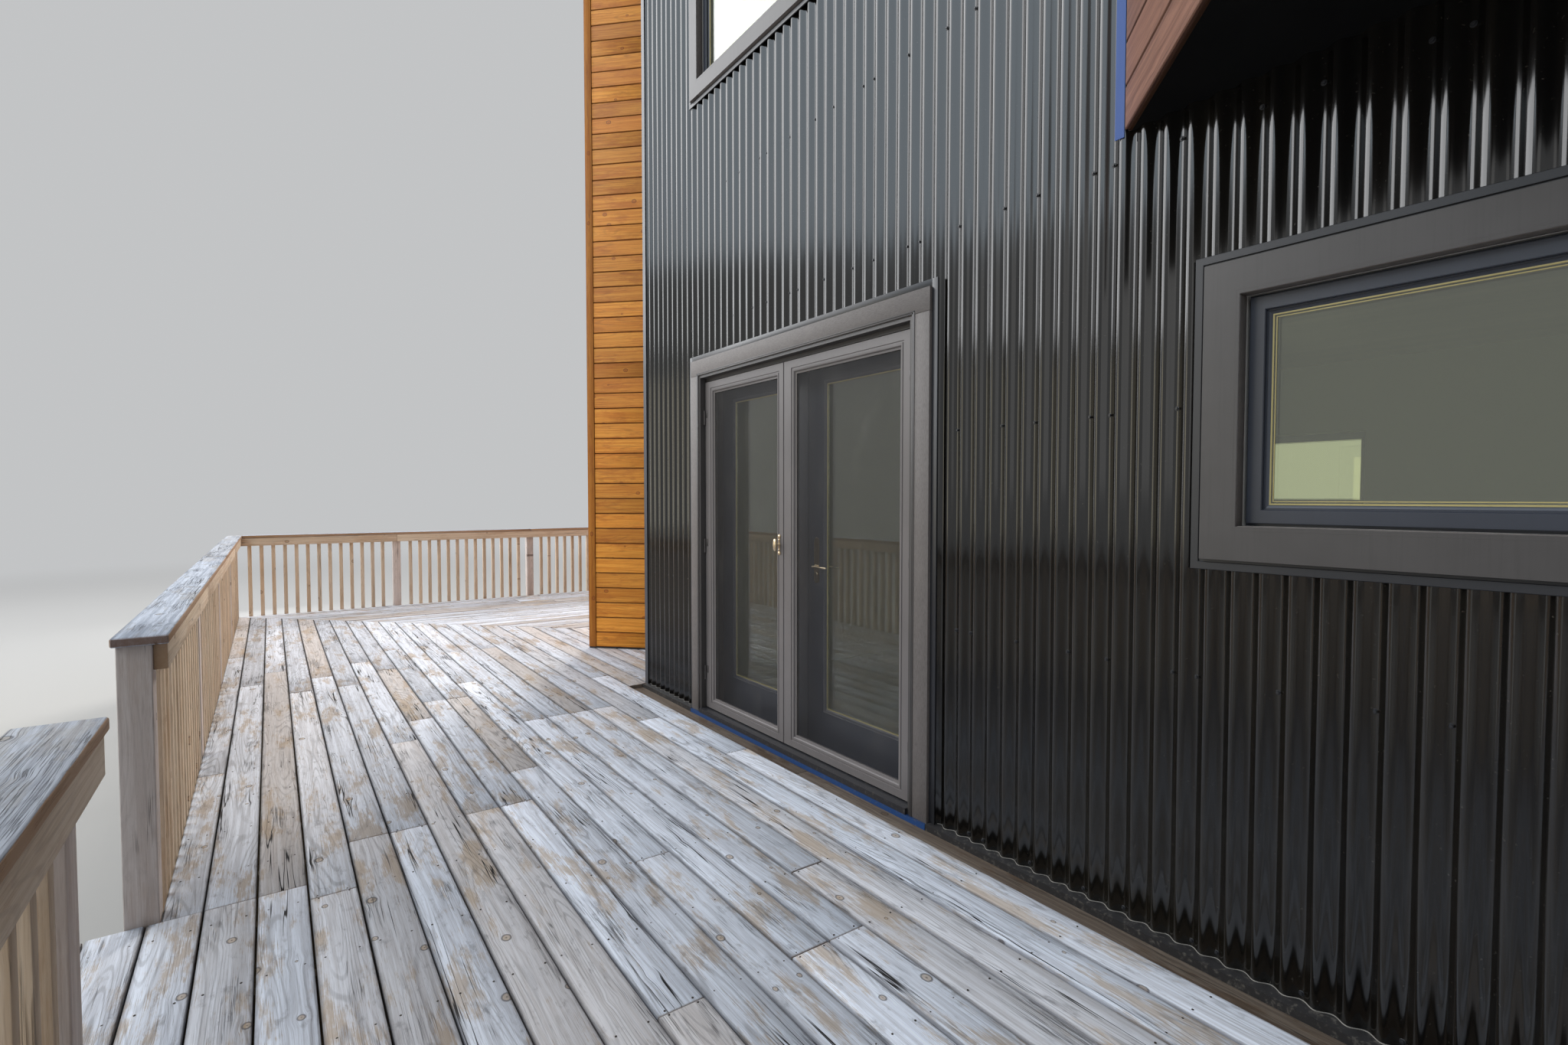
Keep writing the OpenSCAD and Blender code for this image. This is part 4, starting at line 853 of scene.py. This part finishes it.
def make_glazed():
    mid = GLAZED_Y + GLAZED_T / 2
    profile = mm([(0, 2), (2, 0), (-18, 0), (-16.5, 1.5), (-10, 3), (-0.5, 10), (-0.5, 35), (-10, 42),
                  (-16.5, 43.5), (-18, 45), (2, 45), (0, 43)], GLAZED_Y)
    widths = (GLAZED_STILE, GLAZED_LOW, GLAZED_STILE, GLAZED_TOP)
    for name, x in (("left", LEAF_X0), ("right", GLAZED_X1)):
        body, solids, line = f"glazed_{name}", Solids(31), Solids(33)
        box = (x, LEAF_Z0, x + GLAZED_W, LEAF_Z1)
        sweep(solids, FRONT, box, widths, profile)
        solids.make(f"glazed_frame_{name}", "sash", SASH, [f"glazed_door_{name}"], body)
        leaf_hinges(body, f"glazed_hinges_{name}", True)
        pane = np.add(box, np.multiply(widths, (1, 1, -1, -1)))
        for side in (-1, 1):
            a, b = mid + side * 0.0122, mid + side * 0.0134
            sweep(line, FRONT, pane, 0.006, [(0, a), (0, b), (0.0045, b), (0.0055, a)])
        line.make(f"glazed_spacer_line_{name}", "sash", GASKET, body=body)
    lever = Solids(34)
    x, z = GLAZED_X1 + GLAZED_STILE / 2, LEVER_Z
    for y, side in ((GLAZED_Y, -1), (GLAZED_Y + GLAZED_T, 1)):
        plate(lever, pill(x, z + PLATE_UP, 0.042, 0.25), *sorted((y, y + side * 0.005)), 0.0014)
        lathe(lever, (x, y, z), 1, mm([(4, 13.5), (8, 13.5), (10, 9.5), (21.5, 8.5), (22.5, 7)], side=side))
        grip = mm([(-10, 3), (-8, 5.5), (-2, 7.5), (10, 7), (60, 5.8), (104, 6.4), (110, 5), (111.5, 2.5)])
        lathe(lever, (x, y + side * 0.027, z), 0, grip, 20, squeeze=0.85)
        lathe(lever, (x, y, z + PLATE_UP - 0.075), 1, mm([(4, 9), (6.5, 9), (7.5, 8)], side=side))
    lever.make("door_lever_set", "hardware", NICKEL, ["door_lever"], "glazed_right")


def siding(boards, tongues, place, x0, x1, z0, z1, shift=0):
    holes = WINDOWS.get(place, [])
    count = max(1, round((z1 - z0) / CEDAR_PITCH))
    pitch = (z1 - z0) / count
    for row in range(count):
        a, b = z0 + row * pitch, z0 + (row + 1) * pitch
        met = [h for h in holes if h[1] < b and h[3] > a]
        cuts = {x0, x1} | {c for h in met for c in (h[0], h[2]) if x0 < c < x1}
        joint = x0 + (x1 - x0) * (0.25 + 0.5 * ((row * 0.618 + 0.1 * shift) % 1))
        if row % 3 == 0 and not any(h[0] - 0.1 < joint < h[2] + 0.1 for h in holes):
            cuts.add(joint)
        cuts = sorted(cuts)
        for p, q in pairwise(cuts):
            spans = [(a, b)]
            for h in met:
                if h[0] < (p + q) / 2 < h[2]:
                    spans = [s for s in ((a, h[1]), (h[3], b)) if s[1] - s[0] > 0.01]
            for low, high in spans:
                lo, hi = (p + 0.0005, 0, low + CEDAR_GAP), (q - 0.0005, CEDAR_T, high - CEDAR_GAP)
                board(boards, place, lo, hi, 0, 0.0035, arcs=1)
                # A tongue behind the gap, dark with painted shade
                board(tongues, place, (p, 0.0125, low), (q, CLAD_T, high), 0, 0.0003, arcs=1)


def corner_board(posts, place, z0, z1, **shape):
    board(posts, place, (-PROUD, -PROUD, z0), (CORNER_W - 0.001, CLAD_T, z1), 2, 0.003, **shape)


def make_siding():
    tower, tongues, posts, bay, prow = [Solids(seed) for seed in (41, 45, 42, 43, 44)]
    back_length = (TOWER_END - TOWER_LEFT[1]) * math.sqrt(2)
    siding(tower, tongues, TOWER_RIGHT, CORNER_W, TOWER_OUT * math.sqrt(2), SIDING_Z, TOP_Z)
    siding(tower, tongues, TOWER_FRONT, CORNER_W, TOWER_W - CLAD_T, SIDING_Z, TOP_Z)
    siding(tower, tongues, TOWER_BACK, 0, back_length - CLAD_T, SIDING_Z, TOP_Z, 3)
    for place in (TOWER_RIGHT, TOWER_FRONT):
        corner_board(posts, place, SIDING_Z, TOP_Z, spans=6, wave=0.0005)
    tower.make("tower_cedar_boards", "cedar", CEDAR, ["tower_siding"])
    posts.make("tower_corner_boards", "cedar", CEDAR)
    siding(bay, tongues, BAY_LEFT, 0.0, BAY_SIDE - CLAD_T, SOFFIT_Z, BAY_TOP_Z, 1)
    siding(bay, tongues, BAY_RIGHT, CORNER_W, BAY_SIDE, SOFFIT_Z, BAY_TOP_Z, 1)
    corner_board(prow, BAY_RIGHT, SOFFIT_Z, BAY_TOP_Z)
    bay.make("bay_cedar_boards", "bay_cedar", BAY_CEDAR, ["bay_siding"])
    prow.make("bay_corner_board", "bay_cedar", BAY_CEDAR)
    tongues.make("cedar_board_tongues", "cedar", CEDAR_PAINTED_SHADE)


def split_run(rng, a, b, joists, shortest=1.5, longest=4.2, last=0.9):
    cuts = [a]
    while b - cuts[-1] > longest:
        near = [x for x in joists if cuts[-1] + shortest < x < min(cuts[-1] + longest, b - last)]
        if not near:
            break
        cuts.append(near[rng.integers(len(near))])
    return cuts + [b]


def lay_row(boards, nails, along, lo_side, hi_side, start, end, joists, apex=math.inf):
    """A row of deck boards over its joists. Each end is (place, slant), where the slant is how far it
    moves along for each step across. The row narrows to a point at an apex."""
    hi_side = min(hi_side, apex - 0.01)
    if hi_side - lo_side <= 0.012:
        return
    mid = (lo_side + hi_side) / 2
    first, last = [at + slant * mid for at, slant in (start, end)]
    cuts = split_run(boards.rng, first, last, joists)
    for i, (p, q) in enumerate(pairwise(cuts)):
        at_start, at_end = i == 0, i == len(cuts) - 2
        lift = 0.0014 * (boards.rng.random() - 0.8)
        lo, hi = [0, 0, DECK_H - BOARD_T], [0, 0, DECK_H + lift]
        lo[along], hi[along] = p + (0 if at_start else BUTT), q - (0 if at_end else BUTT)
        lo[1 - along], hi[1 - along] = lo_side, hi_side
        slants = (start[1] if at_start else 0, end[1] if at_end else 0)
        board(boards, FRONT, lo, hi, along, 0.0045, slants, 2, max(1, int((q - p) / 0.5)), 0.0009)
        for joist in joists:
            if not p + 0.03 < joist < q - 0.03:
                ends = [c for c in (p + 0.012, q - 0.012) if abs(joist - c) < 0.03]
                if not ends:
                    continue
                joist = ends[0]
            for side in (lo_side + NAIL_IN, hi_side - NAIL_IN):
                at = [0, 0, DECK_H + lift]
                at[along] = joist + 0.006 * (boards.rng.random() - 0.5)
                at[1 - along] = side + 0.008 * (boards.rng.random() - 0.5)
                room = abs(at[1 - along] - mid)
                if min(at[along] - first, last - at[along]) > room + 0.02:
                    lathe(nails, at, 2, [(-0.003, NAIL_R), (0.0007, NAIL_R), (0.001, 0.0022)], 8)


def make_deck():
    boards, strip, side, steps, nails = [Solids(seed) for seed in (51, 53, 54, 55, 52)]
    joists_x = [DECK_X1 - i * JOIST_STEP + JOIST_T / 2 for i in range(1, 32)]
    joists_y = [DECK_BACK - i * JOIST_STEP + JOIST_T / 2 for i in range(1, 17)]
    mitre, face_sum, corner = DECK_W - DECK_LEFT, TOWER_IN - TOWER_OUT, TOWER_IN + TOWER_OUT
    end, wall = (DECK_X1, 0), (-0.001, 0)
    gate = [(GATE_X0, 0), (GATE_X0 + 0.001, 0), (GATE_X1, 0), (GATE_X1 + 0.001, 0)]

    def lay(lo, hi, a, b, **more):
        lay_row(boards, nails, 0, lo, hi, a, b, joists_x, **more)

    for k in range(-13, 17):
        hi = -EDGE_W - k * BOARD_PITCH
        lo = hi - BOARD_W
        # A row that the deck's front edge cuts keeps its start
        start = (mitre + min(0, lo + DECK_W) / 2, 1.0)
        if lo < -DECK_W:
            lay(-DECK_W, hi, start, gate[0])
            lay(lo, hi, gate[1], gate[2])
            lay(-DECK_W, hi, gate[3], end)
        elif k >= 14:
            lay(lo, hi, start, gate[0])
            lay(lo, hi, gate[1], end)
        elif k >= 0:
            lay(lo, hi, start, end)
        elif lo < TOWER_IN:
            lay(lo, hi, start, wall)
        else:
            lay(lo, hi, start, (face_sum, -1.0), apex=(face_sum - mitre) / 2)
            lay(lo, hi, (-corner, 1.0), wall, apex=corner)
    step = BOARD_W + 0.006
    last = -EDGE_W - 16 * BOARD_PITCH - step
    for lo, hi in ((last - BOARD_W, last), (-DECK_W - LANDING_D, last - step)):
        lay(lo, hi, gate[0], gate[2])
    boards.make("deck_boards_along_front", "decking", DECKING, ["deck_boards_front"])
    cuts = split_run(strip.rng, 0, CAB_L, joists_x)
    for p, q in pairwise(cuts):
        board(strip, FRONT, (p + 0.001, EDGE_GAP - EDGE_W, DECK_H - BOARD_T),
              (q - 0.001, -0.001, DECK_H - EDGE_SINK))
    strip.make("sunk_strip_boards", "decking", SUNK_STRIP)
    apexes = (face_sum + mitre) / 2, DECK_BACK - TOWER_END
    start, end = (-mitre, 1.0), (DECK_BACK, 0)
    for lo in np.arange(DECK_X0, max(apexes), BOARD_PITCH).tolist():
        hi = lo + BOARD_W
        if (lo + hi) / 2 < TOWER_LEFT[0]:
            lay_row(side, nails, 1, lo, hi, start, end, joists_y)
        else:
            lay_row(side, nails, 1, lo, hi, start, (face_sum, -1.0), joists_y, apexes[0])
            lay_row(side, nails, 1, lo, hi, (TOWER_END, 1.0), end, joists_y, apexes[1])
    side.make("deck_boards_beside_tower", "decking", DECKING, ["deck_boards_side"])
    nails.make("deck_nails", "framing", NAIL)
    half = TREAD_D / 2 - 0.003
    for i in range(TREADS):
        y = -DECK_W - LANDING_D - i * TREAD_D
        z = DECK_H - (i + 1) * DECK_H / (TREADS + 1)
        for a in (y - half, y - TREAD_D):
            board(steps, FRONT, (GATE_X0, a, z - TREAD_T), (GATE_X1, a + half, z), 0, 0.0045, spans=3,
                  wave=0.0006)
    steps.make("stair_tread_boards", "decking", DECKING, ["stair_treads"])


def railing(name, place, length, first, last, cap0, cap1, sub0, sub1):
    """One run of railing: x along it seen from outside, y to the deck."""
    caps, posts, rails = Solids(61), Solids(62), Solids(63)
    x0 = 0.0 if first else -RAIL_POST
    x1 = length - RAIL_POST if last else length
    bays = max(1, math.ceil((x1 - x0) / POST_STEP - 1e-9))
    bay = (x1 - x0) / bays
    gap = bay - RAIL_POST
    count = round(gap / BAL_STEP) - 1
    top, low = DECK_H + RAIL_H - CAP_T, DECK_H - BOARD_T - RIM_H
    outer = SUB_T + CAP_IN
    stops = [x0 + i * bay + RAIL_POST / 2 for i in range(1, bays)]
    cuts = [-cap0, *stops[1::2], length + cap1]
    for p, q in pairwise(cuts):
        board(caps, place, (p + HAIR, outer - CAP_W, top), (q - HAIR, outer, top + CAP_T), 0, 0.0085, arcs=4,
              spans=max(2, int((q - p) / 0.4)), wave=0.001)
    cuts = [-sub0, *stops[0::2], length + sub1]
    for p, q in pairwise(cuts):
        board(rails, place, (p + HAIR, 0, top - SUB_H), (q - HAIR, SUB_T, top), spans=4, wave=0.0006)
    for i in range(0 if first else 1, bays + 1 if last else bays):
        a = x0 + i * bay
        board(posts, place, (a, -RAIL_POST, low), (a + RAIL_POST, 0, top), 2, 0.005, arcs=3, spans=3,
              wave=0.0008)
    for i in range(bays):
        for j in range(1, count + 1):
            a = x0 + i * bay + RAIL_POST + j * gap / (count + 1) - BAL_W / 2
            a += 0.0012 * (rails.rng.random() - 0.5)
            board(rails, place, (a, -BAL_W, low + BAL_UP), (a + BAL_W, 0, top), 2, EASED)
    caps.make(f"{name}_cap", "railing", RAIL_CAP, [name])
    posts.make(f"{name}_posts", "railing", POST_WOOD)
    rails.make(f"{name}_balusters", "railing", RAILING)


def make_railings():
    cap_side, sub_side = CAP_W - SUB_T - CAP_IN - RAIL_POST, SUB_T - RAIL_POST
    inner = -SUB_T - CAP_IN
    x = DECK_X0 - RAIL_POST
    railing("railing_front_left", Place(x, -DECK_W), GATE_X0 - x, True, True, cap_side, CAP_OVER,
            sub_side, -SUB_BACK)
    railing("railing_left", Place(DECK_X0, DECK_BACK, -90), DECK_W + DECK_BACK, False, False, inner, inner,
            -SUB_T, -SUB_T)
    x = DECK_BACK - SUB_T - CAP_IN - TOWER_END - 2 * CAP_OVER
    railing("railing_back", Place(x, DECK_BACK, 180), x - DECK_X0 + RAIL_POST, True, True, CAP_OVER / 2,
            cap_side, 0, sub_side)
    railing("railing_front_right", Place(GATE_X1, -DECK_W), DECK_X1 + RAIL_POST - GATE_X1, True, True,
            GATE_CAP, cap_side, GATE_SUB, sub_side)
    railing("railing_right", Place(DECK_X1, -DECK_W, 90), DECK_W - WALL_GAP, False, True, inner, 0, -SUB_T, 0)


def make_roof_details():
    laps, joints = Solids(71), Solids(72)
    for x in np.arange(INNER + 0.9, CAB_L - INNER - 0.1, 1.0).tolist():
        board(laps, FRONT, (x, INNER, ROOF_Z), (x + 0.09, CAB_D - INNER, ROOF_Z + 0.003), 1, 0.001)
    laps.make("roof_membrane_laps", "roofing", MEMBRANE)
    over = 0.0015
    near, far, top = -COPING_OUT - over, INNER + COPING_OUT + over, TOP_Z + COPING_H + over
    for place, length in ((FRONT, CAB_L), (RIGHT, CAB_D), (BACK, CAB_L)):
        count = round(length / 2.4)
        for at in [i * length / count for i in range(1, count)]:
            board(joints, place, (at - 0.04, near, TOP_Z + 0.004), (at + 0.04, far, top), 1, 0.001)
    joints.make("coping_joint_covers", "metal_trim", TRIM)


def aim(thing, direction):
    thing.rotation_mode = "QUATERNION"
    thing.rotation_quaternion = Vector(direction).to_track_quat("-Z", "Y")


def make_stage():
    s, at = surface("studio_floor")
    s.finish((0.42, 0.42, 0.415), 0.9, spec=0.1)
    glow = s.wire("Emission", {"Color": PALE, "Strength": PALE_LEVEL})
    far = at.vector("LENGTH", out="Value").step(9.0, 30.0)
    blend = s.wire("MixShader", (far, Wire(s, s.last.outputs[0]), glow))
    s.put(s.tree.nodes["Material Output"].inputs["Surface"], blend)
    mesh = bpy.data.meshes.new("floor")
    r, z = 60, -0.001
    mesh.from_pydata([(-r, -r, z), (r, -r, z), (r, r, z), (-r, r, z)], [], [(0, 1, 2, 3)])
    mesh.materials.append(s.owner)
    floor = link("floor", mesh)


def make_camera():
    data = bpy.data.cameras.new("camera")
    data.lens, data.sensor_width, data.clip_end = CAM_LENS, CAM_SENSOR, 200
    cam = link("camera", data)
    cam.location = CAM_AT
    look = Vector((*CAM_LOOK, 0)).normalized()
    aim(cam, (look.x, look.y, -math.tan(math.radians(CAM_DOWN))))
    bpy.context.scene.camera = cam


def make_lamp(name, at, to, width, height, radiance, colour=(1, 1, 1)):
    data = bpy.data.lights.new(name, "AREA")
    data.shape, data.size, data.size_y = "RECTANGLE", width, height
    data.energy, data.color = radiance * math.pi * width * height, colour
    lamp = link(name, data)
    start, end = (Vector(FRONT.row([p])[0]) for p in (at, to))
    lamp.location = start
    aim(lamp, end - start)
    lamp.visible_camera = False


def make_light():
    s = Shader("world", bpy.data.worlds, "Background")
    rays = s.node("LightPath").outputs
    camera, glossy, through = [Wire(s, rays[f"Is {name} Ray"])
                               for name in ("Camera", "Glossy", "Transmission")]
    shown = s.wire("Math", (camera + glossy, through), operation="ADD", use_clamp=True)
    level = s.wire("MapRange", {"Value": shown, "To Min": SKY_LEVEL, "To Max": PALE_LEVEL})
    bpy.context.scene.world = s.fill({"Color": PALE, "Strength": level})
    sun = bpy.data.lights.new("key", "SUN")
    sun.energy, sun.angle, sun.color = 2.0, math.radians(16), (1.0, 0.95, 0.88)
    aim(link("key", sun), (0.772, -0.635, -0.66))
    make_lamp("high_box", (-11.0, -9.75, 12.4), (2.5, 0, 3.5), 21, 12.7, 4.0, (0.96, 0.975, 1.0))
    make_lamp("sky_box", (6.0, -13.0, 12.0), (3.0, 0, 3.6), 16, 8, 2.1, (0.74, 0.88, 1.0))
    make_lamp("side_box", (-10.5, -2.6, 3.5), (2.5, 0, 2.0), 1.6, 6.0, 2.2)
    make_lamp("front_box", (-2.4, -8.8, 2.8), (-2.4, 0, 2.4), 5.2, 3.0, 1.7, (1.0, 0.89, 0.6))
    make_lamp("fill_box", (12.5, -9.5, 5.0), (2.5, 0, 2.0), 5.0, 6.0, 0.5, (1.0, 0.98, 0.95))


dress_nodes()
make_cladding()
make_casings()
make_screens()
make_glazed()
make_siding()
make_deck()
make_railings()
make_roof_details()
make_stage()
make_camera()
make_light()
bpy.context.scene.view_settings.view_transform = "Standard"
